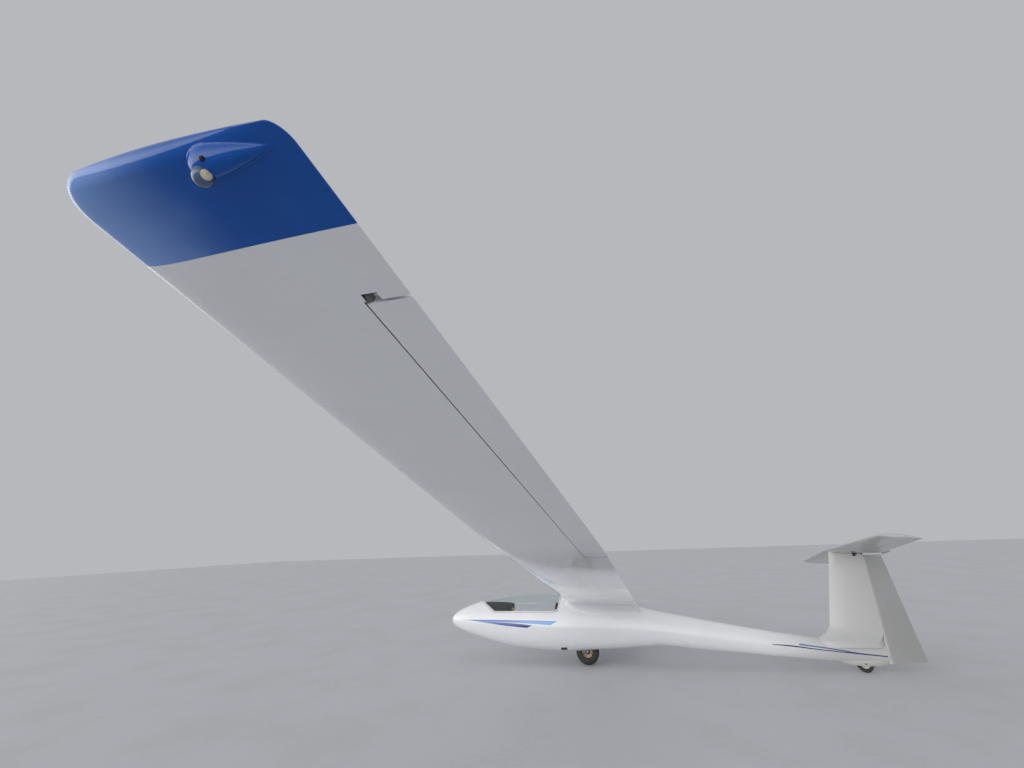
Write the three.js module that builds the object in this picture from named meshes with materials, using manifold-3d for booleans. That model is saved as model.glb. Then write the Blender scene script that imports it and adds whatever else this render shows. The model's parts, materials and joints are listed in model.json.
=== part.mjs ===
// A single-seat club sailplane, parked on its two wheels and its right wing tip.
// Millimetres. The aircraft's own frame: x aft from the nose tip, y to the right wing,
// z up from the line under both wheels. The whole aircraft is then rolled to the right.
import * as THREE from 'three';
import { mergeVertices } from 'three/addons/utils/BufferGeometryUtils.js';
import Module from 'manifold-3d';

const wasm = await Module();
wasm.setup();

const { lerp, degToRad: rad } = THREE.MathUtils;
const vec = (x, y, z) => new THREE.Vector3(x, y, z);

// Clearances
const SEAM = 0.3; // between pieces that are joined or seated
const GAP = 5; // round whatever moves
const FLAT = 1.5; // half thickness of every trailing edge

// Finishes
const finish = (color, roughness, metalness = 0, more = {}) =>
  new THREE.MeshStandardMaterial({ color, roughness, metalness, ...more });
const GELCOAT = finish('#e9ebee', 0.15);
const BLUE = finish('#173f97', 0.15);
const CLEAR = finish('#dfe8ea', 0.05, 0, { transparent: true, opacity: 0.25 });
const BLACK = finish('#17181a', 0.7);
const RUBBER = finish('#1b1b1c', 0.85);
const CREAM = finish('#d8c48c', 0.45);
const STEEL = finish('#8d9196', 0.4, 0.9);
const LINING = finish('#9a9da1', 0.8);
const WEBBING = finish('#2b3550', 0.9);
const SKID = finish('#d9dadb', 0.5);

// Solids: a closed geometry becomes a manifold solid, and back.
function solid(geometry) {
  const bare = geometry.index ? geometry.toNonIndexed() : geometry;
  const points = new THREE.BufferGeometry().setAttribute('position', bare.getAttribute('position'));
  const merged = mergeVertices(points, 1e-3);
  const corners = merged.index.array;
  const triVerts = [];
  for (let i = 0; i < corners.length; i += 3) {
    const [a, b, c] = [corners[i], corners[i + 1], corners[i + 2]];
    if (a !== b && b !== c && c !== a) triVerts.push(a, b, c);
  }
  const mesh = (order) => new wasm.Mesh({
    numProp: 3,
    vertProperties: merged.attributes.position.array,
    triVerts: new Uint32Array(order),
  });
  const made = new wasm.Manifold(mesh(triVerts));
  return made.volume() > 0 ? made : new wasm.Manifold(mesh(triVerts.reverse()));
}

function geometryOf(made) {
  const { vertProperties, triVerts } = made.getMesh();
  const geometry = new THREE.BufferGeometry();
  geometry.setAttribute('position', new THREE.Float32BufferAttribute(vertProperties, 3));
  geometry.setIndex([...triVerts]);
  const flat = geometry.toNonIndexed();
  flat.computeVertexNormals();
  return flat;
}

const union = (...made) => made.reduce((all, one) => all.add(one));

// A closed body over rings of equal length. Point k of a ring faces point n - k across its
// line of symmetry, so the two ends close with plain strips.
function loft(rings) {
  const n = rings[0].length;
  const position = rings.flat().flatMap((p) => [p.x, p.y, p.z]);
  const index = [];
  for (let i = 0; i < rings.length - 1; i += 1) {
    for (let k = 0; k < n; k += 1) {
      const [a, b] = [i * n + k, i * n + ((k + 1) % n)];
      index.push(a, b, b + n, a, b + n, a + n);
    }
  }
  const cap = (base, turn) => {
    for (let k = 0; k < n / 2; k += 1) {
      const quad = [k, k + 1, (n - k - 1) % n, (n - k) % n].map((j) => base + j);
      const order = turn ? [0, 2, 1, 0, 3, 2] : [0, 1, 2, 0, 2, 3];
      index.push(...order.map((j) => quad[j]));
    }
  };
  cap(0, true);
  cap((rings.length - 1) * n, false);
  const geometry = new THREE.BufferGeometry();
  geometry.setAttribute('position', new THREE.Float32BufferAttribute(position, 3));
  geometry.setIndex(index);
  return solid(geometry);
}

// Simple solids at their place
const at = (geometry, x, y, z) => solid(geometry.translate(x, y, z));
const block = (x0, x1, y0, y1, z0, z1) => at(
  new THREE.BoxGeometry(x1 - x0, y1 - y0, z1 - z0), (x0 + x1) / 2, (y0 + y1) / 2, (z0 + z1) / 2);
const rodY = (radius, y0, y1, x, z, sides = 32) => at(
  new THREE.CylinderGeometry(radius, radius, y1 - y0, sides), x, (y0 + y1) / 2, z);
const rodX = (radius, x0, x1, y, z, sides = 20) => at(
  new THREE.CylinderGeometry(radius, radius, x1 - x0, sides).rotateZ(Math.PI / 2), (x0 + x1) / 2, y, z);
const bar = (radius, points, sides = 10) => solid(new THREE.ExtrudeGeometry(
  new THREE.Shape(new THREE.Path().absarc(0, 0, radius, 0, 2 * Math.PI).getPoints(sides / 2).slice(0, -1)),
  { extrudePath: new THREE.CatmullRomCurve3(points), steps: 2 * points.length, bevelEnabled: false }));
// An outline drawn in side view (x, z), as wide as y0 to y1
const plate = (shape, y0, y1, segments = 12) => solid(
  new THREE.ExtrudeGeometry(shape, { depth: y1 - y0, bevelEnabled: false, curveSegments: segments })
    .rotateX(Math.PI / 2).translate(0, y1, 0));
const outline = (points) => new THREE.Shape(points.map(([x, z]) => new THREE.Vector2(x, z)));

// Fuselage
// Sections: x, top, bottom, half width, height of the widest line
const BODY = [
  [0, 620, 568, 30, 596],
  [25, 668, 530, 68, 598],
  [110, 733, 480, 122, 598],
  [330, 823, 398, 205, 592],
  [640, 908, 312, 268, 584],
  [1000, 966, 234, 305, 572],
  [1390, 1000, 190, 322, 566],
  [1780, 992, 171, 322, 564],
  [2100, 984, 178, 305, 560],
  [2400, 962, 198, 272, 556],
  [2750, 880, 222, 232, 545],
  [3100, 792, 250, 202, 520],
  [3400, 724, 266, 182, 490],
  [3850, 645, 232, 156, 435],
  [4400, 550, 197, 130, 372],
  [5000, 458, 155, 104, 305],
  [5300, 420, 135, 91, 277],
  [5600, 385, 118, 78, 250],
  [5950, 350, 104, 62, 226],
  [6290, 322, 96, 44, 208],
];
const COLUMN = { x: 0, top: 1, bottom: 2, half: 3, wide: 4 };
const BODY_SIDES = 32;
const BODY_POWER = 2.25; // of the superellipse that each section is
const BODY_STEPS = [2, 12, 30]; // millimetres from the nose tip, then 100 apart
const bodyCurve = (column) => {
  const slope = BODY.map((row, i) => {
    const [a, b] = [BODY[Math.max(i - 1, 0)], BODY[Math.min(i + 1, BODY.length - 1)]];
    return (b[column] - a[column]) / (b[COLUMN.x] - a[COLUMN.x]);
  });
  return (x) => {
    const i = Math.max(0, BODY.findLastIndex((row, k) => row[0] <= x && k < BODY.length - 1));
    const [a, b] = [BODY[i], BODY[i + 1]];
    const step = b[0] - a[0];
    const t = (x - a[0]) / step;
    return a[column] * (2 * t ** 3 - 3 * t ** 2 + 1) + slope[i] * step * (t ** 3 - 2 * t ** 2 + t)
      + b[column] * (3 * t ** 2 - 2 * t ** 3) + slope[i + 1] * step * (t ** 3 - t ** 2);
  };
};
const bodyTop = bodyCurve(COLUMN.top);
const bodyBottom = bodyCurve(COLUMN.bottom);
const bodyHalf = bodyCurve(COLUMN.half);
const bodyWide = bodyCurve(COLUMN.wide);

function bodyRing(x, inset = 0) {
  const [top, bottom] = [bodyTop(x) - inset, bodyBottom(x) + inset];
  const [half, wide] = [bodyHalf(x) - inset, bodyWide(x)];
  const round = (v) => Math.sign(v) * Math.abs(v) ** (2 / BODY_POWER);
  return Array.from({ length: BODY_SIDES }, (_, k) => {
    const angle = (2 * Math.PI * k) / BODY_SIDES - Math.PI / 2;
    const [side, rise] = [round(Math.cos(angle)), round(Math.sin(angle))];
    return vec(x, half * side, wide + rise * (rise > 0 ? top - wide : wide - bottom));
  });
}

function body(x0, x1, inset = 0) {
  const inner = [];
  for (const x of [...BODY_STEPS, ...Array.from({ length: 63 }, (_, i) => 80 + 100 * i)]) {
    if (x > x0 + 5 && x < x1 - 5) inner.push(x);
  }
  return loft([x0, ...inner, x1].map((x) => bodyRing(x, inset)));
}
// The half width of the body's skin at a place along it and a height
function skinHalf(x, z) {
  const [wide, limit] = [bodyWide(x), z > bodyWide(x) ? bodyTop(x) : bodyBottom(x)];
  const rise = Math.min(1, Math.abs((z - wide) / (limit - wide)));
  return bodyHalf(x) * (1 - rise ** BODY_POWER) ** (1 / BODY_POWER);
}

// Aerofoils: thickness at a fraction of the chord, for a section of thickness 1, and its mean line
const thickness = (s) => 5 * (
  0.2969 * Math.sqrt(s) - 0.126 * s - 0.3516 * s ** 2 + 0.2843 * s ** 3 - 0.1036 * s ** 4);
const CAMBER_AT = 0.45;
const meanLine = (s) => (s < CAMBER_AT
  ? (2 * CAMBER_AT * s - s ** 2) / CAMBER_AT ** 2
  : (1 - 2 * CAMBER_AT + 2 * CAMBER_AT * s - s ** 2) / (1 - CAMBER_AT) ** 2);
const CHORDWISE = [1, 0.94, 0.86, 0.76, 0.64, 0.5, 0.37, 0.26, 0.16, 0.08, 0.03, 0.008];

// A surface has section(t) giving its leading edge, chord, chord and normal directions,
// thickness ratio and camber.
function facePoint(section, s, side, grow = 0) {
  const { edge, chord, along, normal, ratio, camber } = section;
  const half = thickness(s) * ratio * chord + FLAT * s + grow;
  return edge.clone().addScaledVector(along, s * chord)
    .addScaledVector(normal, camber * chord * meanLine(s) + side * half);
}

function foilRing(section, grow = 0) {
  const upper = CHORDWISE.map((s) => facePoint(section, s, 1, grow));
  const lower = CHORDWISE.map((s) => facePoint(section, s, -1, grow)).reverse();
  const nose = section.edge.clone().addScaledVector(section.along, -grow);
  const tail = upper[0].clone().add(lower.at(-1)).multiplyScalar(0.5).addScaledVector(section.along, grow);
  return [tail, ...upper, nose, ...lower];
}

// Hinged surfaces: the hinge runs straight from a, at the first station, to b, at the last
const NOSE_STEPS = 12;
function hingeAt(hinge, t) {
  const k = (t - hinge.stations[0]) / (hinge.stations.at(-1) - hinge.stations[0]);
  const centre = hinge.a.clone().lerp(hinge.b, k);
  const section = hinge.surface(t);
  const s = centre.clone().sub(section.edge).dot(section.along) / section.chord;
  const radius = thickness(s) * section.ratio * section.chord + FLAT * s;
  return { centre, section, s, radius };
}

function flapRing(hinge, t) {
  const { centre, section, s, radius } = hingeAt(hinge, t);
  const places = [1, 0.72, 0.44, 0.2].map((k) => lerp(s, 1, k));
  const upper = places.map((k) => facePoint(section, k, 1));
  const lower = places.map((k) => facePoint(section, k, -1)).reverse();
  const nose = Array.from({ length: NOSE_STEPS + 1 }, (_, i) => {
    const angle = Math.PI / 2 + (Math.PI * i) / NOSE_STEPS;
    return centre.clone().addScaledVector(section.along, radius * Math.cos(angle))
      .addScaledVector(section.normal, radius * Math.sin(angle));
  });
  const tail = upper[0].clone().add(lower[lower.length - 1]).multiplyScalar(0.5);
  return [tail, ...upper, ...nose, ...lower];
}

// The room that a hinged surface takes from what carries it: a round hollow for its nose, then
// outward along the flank of the surface when it is fully swung
const COVE_DEPTH = 150; // above and below the nose
function coveRing(hinge, t, gap) {
  const { centre, section, radius } = hingeAt(hinge, t);
  const step = (Math.PI - 2 * hinge.swing) / NOSE_STEPS;
  const reach = (radius + gap) / Math.cos(step / 2);
  const [back, high] = [section.chord, radius + COVE_DEPTH];
  const [sine, cosine] = [Math.sin(hinge.swing), Math.cos(hinge.swing)];
  const flank = ((high - reach * cosine) * cosine) / sine - reach * sine;
  const place = (x, z) => centre.clone().addScaledVector(section.along, x).addScaledVector(section.normal, z);
  const nose = Array.from({ length: NOSE_STEPS + 1 }, (_, i) => {
    const angle = Math.PI / 2 + hinge.swing + step * i;
    return place(reach * Math.cos(angle), reach * Math.sin(angle));
  });
  return [
    place(back, 0), place(back, high), place(flank, high), ...nose, place(flank, -high), place(back, -high),
  ];
}

// lands: the hinge bearings, as [from, to] along the hinge, where the carrier comes up to the nose
function cove(hinge, t0, t1, lands) {
  const edges = [t0, ...lands.flat(), t1];
  const stations = hinge.stations.slice(1, -1);
  const pieces = [loft([t0, ...stations, t1].map((t) => coveRing(hinge, t, SEAM)))];
  for (let i = 0; i < edges.length; i += 2) {
    pieces.push(loft([edges[i], edges[i + 1]].map((t) => coveRing(hinge, t, GAP))));
  }
  return union(...pieces);
}

// Wing
// Stations: span, leading edge back from the nose, chord, thickness ratio
const WING = [
  { y: 0, edge: 2003, chord: 1104, ratio: 0.158 },
  { y: 4500, edge: 2041, chord: 816, ratio: 0.15 },
  { y: 7500, edge: 2129, chord: 476, ratio: 0.126 },
];
const DIHEDRAL = rad(2.93);
const WING_EDGE_HEIGHT = 866;
const WING_CAMBER = 0.034;
const [ROOT_ANGLE, TWIST] = [rad(4.9), rad(-1.9)];
const [ROOT_Y, BORDER_Y, TIP_Y] = [390, 7316, 7500];
function wingSection(y) {
  const [a, b] = y < WING[1].y ? WING : WING.slice(1);
  const t = (y - a.y) / (b.y - a.y);
  const angle = ROOT_ANGLE + (TWIST * y) / TIP_Y;
  return {
    edge: vec(lerp(a.edge, b.edge, t), y, WING_EDGE_HEIGHT + y * Math.tan(DIHEDRAL)),
    chord: lerp(a.chord, b.chord, t),
    along: vec(Math.cos(angle), 0, -Math.sin(angle)),
    normal: vec(Math.sin(angle), 0, Math.cos(angle)),
    ratio: lerp(a.ratio, b.ratio, t),
    camber: WING_CAMBER,
  };
}

const AILERON = { from: 4200, to: 7124, fraction: 0.8, endGap: 8 };
const AILERON_LANDS = [[4700, 4730], [5650, 5680], [6600, 6630]];
const meanPoint = (section, s) => facePoint(section, s, 1).add(facePoint(section, s, -1)).multiplyScalar(0.5);
const aileronHinge = {
  surface: wingSection,
  swing: rad(20),
  stations: [AILERON.from, WING[1].y, AILERON.to],
  a: meanPoint(wingSection(AILERON.from), AILERON.fraction),
  b: meanPoint(wingSection(AILERON.to), AILERON.fraction),
};
const flap = (hinge) => loft(hinge.stations.map((t) => flapRing(hinge, t)));
const aileron = flap(aileronHinge);

// Airbrake: a paddle that rises straight out of a well in the wing's upper face
const BRAKE = { from: 2060, to: 3140, fraction: 0.52, deep: 100, wide: 12, cap: 30, capThick: 4, travel: 88 };
const brakeInner = facePoint(wingSection(BRAKE.from), BRAKE.fraction, 1);
const brakeOuter = facePoint(wingSection(BRAKE.to), BRAKE.fraction, 1);
brakeOuter.x = brakeInner.x;
const brakeSlope = Math.atan2(brakeOuter.z - brakeInner.z, brakeOuter.y - brakeInner.y);
const brakeFrame = new THREE.Matrix4().makeRotationX(brakeSlope).setPosition(brakeInner);
const brakeLength = brakeOuter.distanceTo(brakeInner);
const brakeBlock = (x, y0, y1, z0, z1) => solid(new THREE.BoxGeometry(2 * x, y1 - y0, z1 - z0)
  .translate(0, (y0 + y1) / 2, (z0 + z1) / 2).applyMatrix4(brakeFrame));
const BRAKE_SUNK = 2; // the cap lies this far under the wing's skin
const airbrake = union(
  brakeBlock(BRAKE.cap / 2, 0, brakeLength, -BRAKE_SUNK - BRAKE.capThick, -BRAKE_SUNK),
  brakeBlock(BRAKE.wide / 2, 0, brakeLength, -BRAKE.deep, -BRAKE_SUNK));
const brakeWell = union(
  brakeBlock(BRAKE.cap / 2 + GAP, -SEAM, brakeLength + SEAM, -BRAKE.deep / 3, 60),
  brakeBlock(BRAKE.wide / 2 + GAP, -SEAM, brakeLength + SEAM, -BRAKE.deep - GAP, 0));

const WING_STATIONS = [ROOT_Y, 1500, 3000, WING[1].y, 6000, BORDER_Y - SEAM];
const wing = loft(WING_STATIONS.map((y) => foilRing(wingSection(y))))
  .subtract(cove(aileronHinge, AILERON.from - AILERON.endGap, AILERON.to + AILERON.endGap, AILERON_LANDS))
  .subtract(brakeWell);

// The tip's two corners are rounded: each section near the end is shorter at both ends
const TIP_FRONT = { length: 80, cut: 81 };
const TIP_BACK = { length: 42, cut: 28 };
const TIP_ROUND = 22; // how far in from the end the tip starts to thin
const rounding = ({ length, cut }, y) => {
  const into = Math.max(0, 1 - (TIP_Y - y) / length);
  return cut * (1 - Math.sqrt(1 - into ** 2));
};
function tipSection(y) {
  const plain = wingSection(y);
  const [front, back] = [rounding(TIP_FRONT, y), rounding(TIP_BACK, y)];
  const into = Math.max(0, 1 - (TIP_Y - y) / TIP_ROUND);
  return {
    ...plain,
    edge: plain.edge.clone().addScaledVector(plain.along, front),
    chord: plain.chord - front - back,
    ratio: plain.ratio * (1 - 0.75 * into ** 2),
  };
}
const TIP_STATIONS = [BORDER_Y, 7380, 7420, 7445, 7463, 7478, 7488, 7495, 7498.5, TIP_Y];
const tipBody = (grow) => loft(TIP_STATIONS.map((y) => foilRing(tipSection(y), grow)));
const wingTip = tipBody(0);

// Tip skid: a long blister under the tip, round in front and fading behind, with a round
// rubbing foot at its deepest place
const SKID_POD = {
  y: 7463, front: 0.595, back: 0.915, half: 25, deep: 28, sunk: 4, widest: 0.25, steps: 14, sides: 16,
};
const SKID_FOOT = { fraction: 0.671, radius: 16, drop: 28 };
const skidSection = wingSection(SKID_POD.y);
const skidMiddle = (s) => facePoint(skidSection, s, -1);
// The blister's width and depth as a share of their most, from its front to its back
function skidShare(t) {
  const ahead = 1 - Math.min(1, t / SKID_POD.widest);
  const behind = Math.max(0, (t - SKID_POD.widest) / (1 - SKID_POD.widest));
  return Math.max(0.02, Math.sqrt(1 - ahead ** 2) * (1 - behind ** 1.6));
}
function skidPod() {
  const { front, back, half, deep, sunk, steps, sides } = SKID_POD;
  const rings = Array.from({ length: steps + 1 }, (_, i) => {
    const t = (1 - Math.cos((Math.PI * i) / steps)) / 2;
    const [wide, low] = [half * skidShare(t), deep * skidShare(t)];
    const centre = skidMiddle(lerp(front, back, t));
    return Array.from({ length: sides }, (_, k) => {
      const angle = (2 * Math.PI * k) / sides;
      return centre.clone().add(vec(0, wide * Math.sin(angle), -Math.max(low * Math.cos(angle), -sunk)));
    });
  });
  return loft(rings);
}
const footCentre = skidMiddle(SKID_FOOT.fraction).add(vec(0, 0, -SKID_FOOT.drop));

const MAIN_WHEEL = { x: 2254, radius: 175, tube: 62, rim: 78, axle: 12.5, hub: 46, sides: 48 };
const TAIL_WHEEL = { x: 5953, radius: 100, tube: 24, rim: 56, axle: 6, hub: 20, sides: 32 };
// Roll: the right tip's foot, the main tyre and the tail tyre all touch the floor
const footRadius = Math.hypot(footCentre.y, footCentre.z);
const flatRoll = Math.atan2(footCentre.z, footCentre.y);
const tyreRise = MAIN_WHEEL.tube * (1 - Math.cos(flatRoll));
const ROLL = flatRoll + Math.asin((tyreRise - SKID_FOOT.radius) / footRadius);
const mainZ = MAIN_WHEEL.radius;
const tailZ = TAIL_WHEEL.radius - TAIL_WHEEL.tube + (TAIL_WHEEL.tube - tyreRise) / Math.cos(ROLL);

const foot = at(new THREE.SphereGeometry(SKID_FOOT.radius, 16, 10).rotateX(ROLL), ...footCentre);
const tipSkid = union(skidPod(), foot).subtract(tipBody(SEAM));

// Fin, rudder, tailplane and elevator
const FIN = {
  low: { z: 250, edge: 5586, back: 6686 },
  high: { z: 1500, edge: 5975, back: 6638 },
  ratio: 0.105,
};
const finLine = (z) => (z - FIN.low.z) / (FIN.high.z - FIN.low.z);
function finSection(z) {
  const t = finLine(z);
  const [edge, back] = [lerp(FIN.low.edge, FIN.high.edge, t), lerp(FIN.low.back, FIN.high.back, t)];
  const [along, normal] = [vec(1, 0, 0), vec(0, 1, 0)];
  return { edge: vec(edge, 0, z), chord: back - edge, along, normal, ratio: FIN.ratio, camber: 0 };
}
const RUDDER = { low: 80, high: 1456, hingeLow: 6264, hingeHigh: 6413 };
const rudderHinge = {
  surface: finSection,
  swing: rad(30),
  stations: [RUDDER.low, RUDDER.high],
  a: vec(RUDDER.hingeLow, 0, RUDDER.low),
  b: vec(RUDDER.hingeHigh, 0, RUDDER.high),
};
const RUDDER_LANDS = [[215, 245], [700, 730], [1250, 1280]];
const underRudder = plate(outline([[6100, 0], [6800, 0], [6800, 140], [6100, 92]]), -90, 90);
const rudder = flap(rudderHinge).subtract(underRudder);
const rudderCove = cove(rudderHinge, 40, 1560, RUDDER_LANDS);

const TAIL = {
  half: 1377,
  height: 1542,
  middle: { edge: 5936, chord: 646 },
  end: { edge: 6054, chord: 450 },
  ratio: 0.115,
};
const TAIL_ANGLE = rad(5.5);
// Its sections lie in one plane, so both halves of the elevator turn on one straight line
const tailLineZ = (x) => TAIL.height - (x - TAIL.middle.edge) * Math.tan(TAIL_ANGLE);
function tailSection(y) {
  const t = Math.abs(y) / TAIL.half;
  const edge = lerp(TAIL.middle.edge, TAIL.end.edge, t);
  return {
    edge: vec(edge, y, tailLineZ(edge)),
    chord: lerp(TAIL.middle.chord, TAIL.end.chord, t),
    along: vec(Math.cos(TAIL_ANGLE), 0, -Math.sin(TAIL_ANGLE)),
    normal: vec(Math.sin(TAIL_ANGLE), 0, Math.cos(TAIL_ANGLE)),
    ratio: TAIL.ratio,
    camber: 0,
  };
}
const ELEVATOR_X = 6352;
const elevatorZ = tailLineZ(ELEVATOR_X);
const elevatorHinge = {
  surface: tailSection,
  swing: rad(25),
  stations: [0, TAIL.half / 2, TAIL.half],
  a: vec(ELEVATOR_X, 0, elevatorZ),
  b: vec(ELEVATOR_X, TAIL.half, elevatorZ),
};
const ELEVATOR_LANDS = [[330, 350], [1000, 1020]];
const mirrored = (made) => made.mirror([0, 1, 0]);
const bothSides = (made) => union(made, mirrored(made));

// The inner ends of the two elevator halves are cut back to let the rudder swing between them
const NOTCH = { half: 72, spread: 0.6, reach: 330, ahead: 60 };
const notch = outline([
  [ELEVATOR_X - NOTCH.ahead, 0], [ELEVATOR_X + NOTCH.reach, 0],
  [ELEVATOR_X + NOTCH.reach, NOTCH.half + NOTCH.spread * NOTCH.reach],
  [ELEVATOR_X, NOTCH.half], [ELEVATOR_X - NOTCH.ahead, NOTCH.half],
]);
const notchSolid = solid(
  new THREE.ExtrudeGeometry(notch, { depth: 400, bevelEnabled: false }).translate(0, 0, 1300));
// A narrow fixed tab, bent down a little, along the inner end of each half's trailing edge
const TAB = { from: 216, to: 430, chord: 28, half: 1.2, bend: rad(25), inset: 6 };
const tabEnd = (y) => {
  const { edge, chord, along } = tailSection(y);
  return edge.clone().addScaledVector(along, chord);
};
const tabTurn = new THREE.Matrix4().makeRotationY(TAIL_ANGLE + TAB.bend);
const tab = loft([TAB.from, TAB.to].map((y) => {
  const corner = (x, z) => vec(x, 0, z * TAB.half).applyMatrix4(tabTurn).add(tabEnd(y));
  return [corner(TAB.chord, 1), corner(-TAB.inset, 1), corner(-TAB.inset, -1), corner(TAB.chord, -1)];
}));
const elevatorHalf = flap(elevatorHinge).subtract(notchSolid).add(tab);
const torqueTube = rodY(11, -80, 80, ELEVATOR_X, elevatorZ);
const ELEVATOR_DROOP = rad(6);
const turned = (made, pivot, angle) => made.translate([-pivot.x, -pivot.y, -pivot.z])
  .rotate([0, THREE.MathUtils.radToDeg(angle), 0]).translate([pivot.x, pivot.y, pivot.z]);
const elevator = turned(bothSides(elevatorHalf).add(torqueTube), elevatorHinge.a, ELEVATOR_DROOP);

// The tips are cut square, with a rounded front corner and softened edges
const TAIL_STATIONS = [0, 500, 1000, 1320, 1352, 1368, TAIL.half];
const TAIL_CORNER = { length: 60, cut: 42, thin: 0.22 };
function tailTip(y, grow) {
  const section = tailSection(y);
  const into = Math.max(0, 1 - (TAIL.half - y) / TAIL_CORNER.length);
  const cut = TAIL_CORNER.cut * (1 - Math.sqrt(1 - into ** 2));
  return foilRing({
    ...section,
    edge: section.edge.clone().addScaledVector(section.along, cut),
    chord: section.chord - cut,
    ratio: section.ratio * (1 - TAIL_CORNER.thin * into ** 6),
  }, grow);
}
const tailplaneBody = (grow) => bothSides(loft(TAIL_STATIONS.map((y) => tailTip(y, grow))));
const elevatorCove = bothSides(cove(elevatorHinge, 0, TAIL.half + 40, ELEVATOR_LANDS));
const tailplane = tailplaneBody(0).subtract(elevatorCove);

const bodySkin = body(5300, 6290, -SEAM);
const finBody = loft([200, 640, 1100, 1540].map((z) => foilRing(finSection(z))));
// The fin's foot sweeps forward into the boom
// Steps: height, reach forward of the plain edge, width against the plain width
const FOOT_STEPS = [
  [360, 260, 1.5], [400, 150, 1.3], [430, 78, 1.16], [470, 26, 1.06], [530, 3, 1.01], [600, 0, 1],
];
const finFoot = loft(FOOT_STEPS.map(([z, forward, wider]) => {
  const section = finSection(z);
  const chord = section.chord + forward;
  section.edge.x -= forward;
  return foilRing({ ...section, chord, ratio: (section.ratio * wider * section.chord) / chord });
}));
const TAIL_PIN = { x: 6298, z: 1452, radius: 7 };
const aboveTail = plate(
  outline([[5800, 1800], [5800, tailLineZ(5800)], [6700, tailLineZ(6700)], [6700, 1800]]), -100, 100);
const fin = union(finBody, finFoot).subtract(rudderCove).subtract(tailplaneBody(SEAM)).subtract(bodySkin)
  .subtract(aboveTail)
  .subtract(block(5300, 6400, -100, 100, 150, 300))
  .subtract(rodY(TAIL_PIN.radius + SEAM, -90, 90, TAIL_PIN.x, TAIL_PIN.z, 16));

// Wheels
const ringOf = (points, sides) => new THREE.LatheGeometry(
  [...points, points[0]].map(([r, y]) => new THREE.Vector2(r, y)), sides);
// Angles round a tyre's section from its crown to its bead. The first meets the floor.
const TYRE_ANGLES = [ROLL, rad(36), rad(64), rad(92), rad(118)];
const BEAD = 0.62; // half width between the beads, of the tube's radius
function tyre({ x, radius, tube, rim, sides }, z) {
  const bead = tube * BEAD;
  const crown = radius - tube;
  const side = (sign) => TYRE_ANGLES.map((a) => [crown + tube * Math.cos(a), sign * tube * Math.sin(a)]);
  return at(ringOf([[rim + SEAM, -bead], ...side(-1).reverse(), ...side(1), [rim + SEAM, bead]], sides), x, 0, z);
}
function hub({ x, tube, rim, axle, hub: boss, sides }, z, web) {
  const [bead, bore, sleeve, bowl, lip] = [tube * BEAD, axle + SEAM, axle + 12, rim - 14, rim - 10];
  return at(ringOf([
    [bore, -boss], [sleeve, -boss], [sleeve, -web], [bowl, -web], [lip, -bead], [rim, -bead],
    [rim, bead], [lip, bead], [bowl, web], [sleeve, web], [sleeve, boss], [bore, boss],
  ], sides), x, 0, z);
}

const mainTyre = tyre(MAIN_WHEEL, mainZ);
const spokeHoles = union(...Array.from({ length: 6 }, (_, i) => rodY(
  13, -60, 60, MAIN_WHEEL.x + 45 * Math.cos((i * Math.PI) / 3), mainZ + 45 * Math.sin((i * Math.PI) / 3), 16)));
const mainRim = hub(MAIN_WHEEL, mainZ, 14).subtract(spokeHoles);
const tailTyre = tyre(TAIL_WHEEL, tailZ);
const tailHub = hub(TAIL_WHEEL, tailZ, 7);
const AXLE_HALF = 77.7;
const TAIL_AXLE_HALF = 37;
const mainAxle = rodY(MAIN_WHEEL.axle, -AXLE_HALF, AXLE_HALF, MAIN_WHEEL.x, mainZ);
const tailAxle = rodY(TAIL_WHEEL.axle, -TAIL_AXLE_HALF, TAIL_AXLE_HALF, TAIL_WHEEL.x, tailZ);

// Wells that the wheels turn in
const MAIN_WELL = { length: 200, half: 78, top: 400 };
const mainWell = block(
  MAIN_WHEEL.x - MAIN_WELL.length, MAIN_WHEEL.x + MAIN_WELL.length,
  -MAIN_WELL.half, MAIN_WELL.half, 0, MAIN_WELL.top);
const TAIL_WELL_HALF = 31;
const tailWell = rodY(TAIL_WHEEL.radius + 12, -TAIL_WELL_HALF, TAIL_WELL_HALF, TAIL_WHEEL.x, tailZ, 40)
  .add(rodY(TAIL_WHEEL.axle + SEAM, -TAIL_AXLE_HALF - SEAM, TAIL_AXLE_HALF + SEAM, TAIL_WHEEL.x, tailZ));
// A fork of two legs hangs from the well's roof and carries the axle's ends
const forkLeg = (y0, y1) => plate(outline([
  [MAIN_WHEEL.x - 26, mainZ - 26], [MAIN_WHEEL.x + 26, mainZ - 26], [MAIN_WHEEL.x + 60, MAIN_WELL.top - SEAM],
  [MAIN_WHEEL.x - 60, MAIN_WELL.top - SEAM],
]), y0, y1);
const forkCrown = block(
  MAIN_WHEEL.x - 55, MAIN_WHEEL.x + 55, -70, 70, MAIN_WELL.top - 12, MAIN_WELL.top - SEAM);
const mainFork = union(bothSides(forkLeg(68, 76)), forkCrown).subtract(
  rodY(MAIN_WHEEL.axle + SEAM, -90, 90, MAIN_WHEEL.x, mainZ));

// Tail fairing: a bulge under the boom's end that the tail wheel sits in
// Sections: x, bottom, half width
const FAIRING = [
  [5590, 150, 18], [5680, 102, 34], [5790, 72, 43], [5900, 55, 47],
  [6010, 53, 46], [6120, 66, 40], [6215, 86, 28],
];
const fairingTop = 190;
const tailFairing = loft(FAIRING.map(([x, bottom, half]) => Array.from({ length: 16 }, (_, k) => {
  const angle = (2 * Math.PI * k) / 16 - Math.PI / 2;
  const middle = (fairingTop + bottom) / 2;
  return vec(x, half * Math.cos(angle), middle + (fairingTop - middle) * Math.sin(angle));
})));

// Fuselage pieces
const [FRONT_END, CENTRE_END, BODY_END] = [1965, 3150, 6290];
const WALL = 24;
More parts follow.
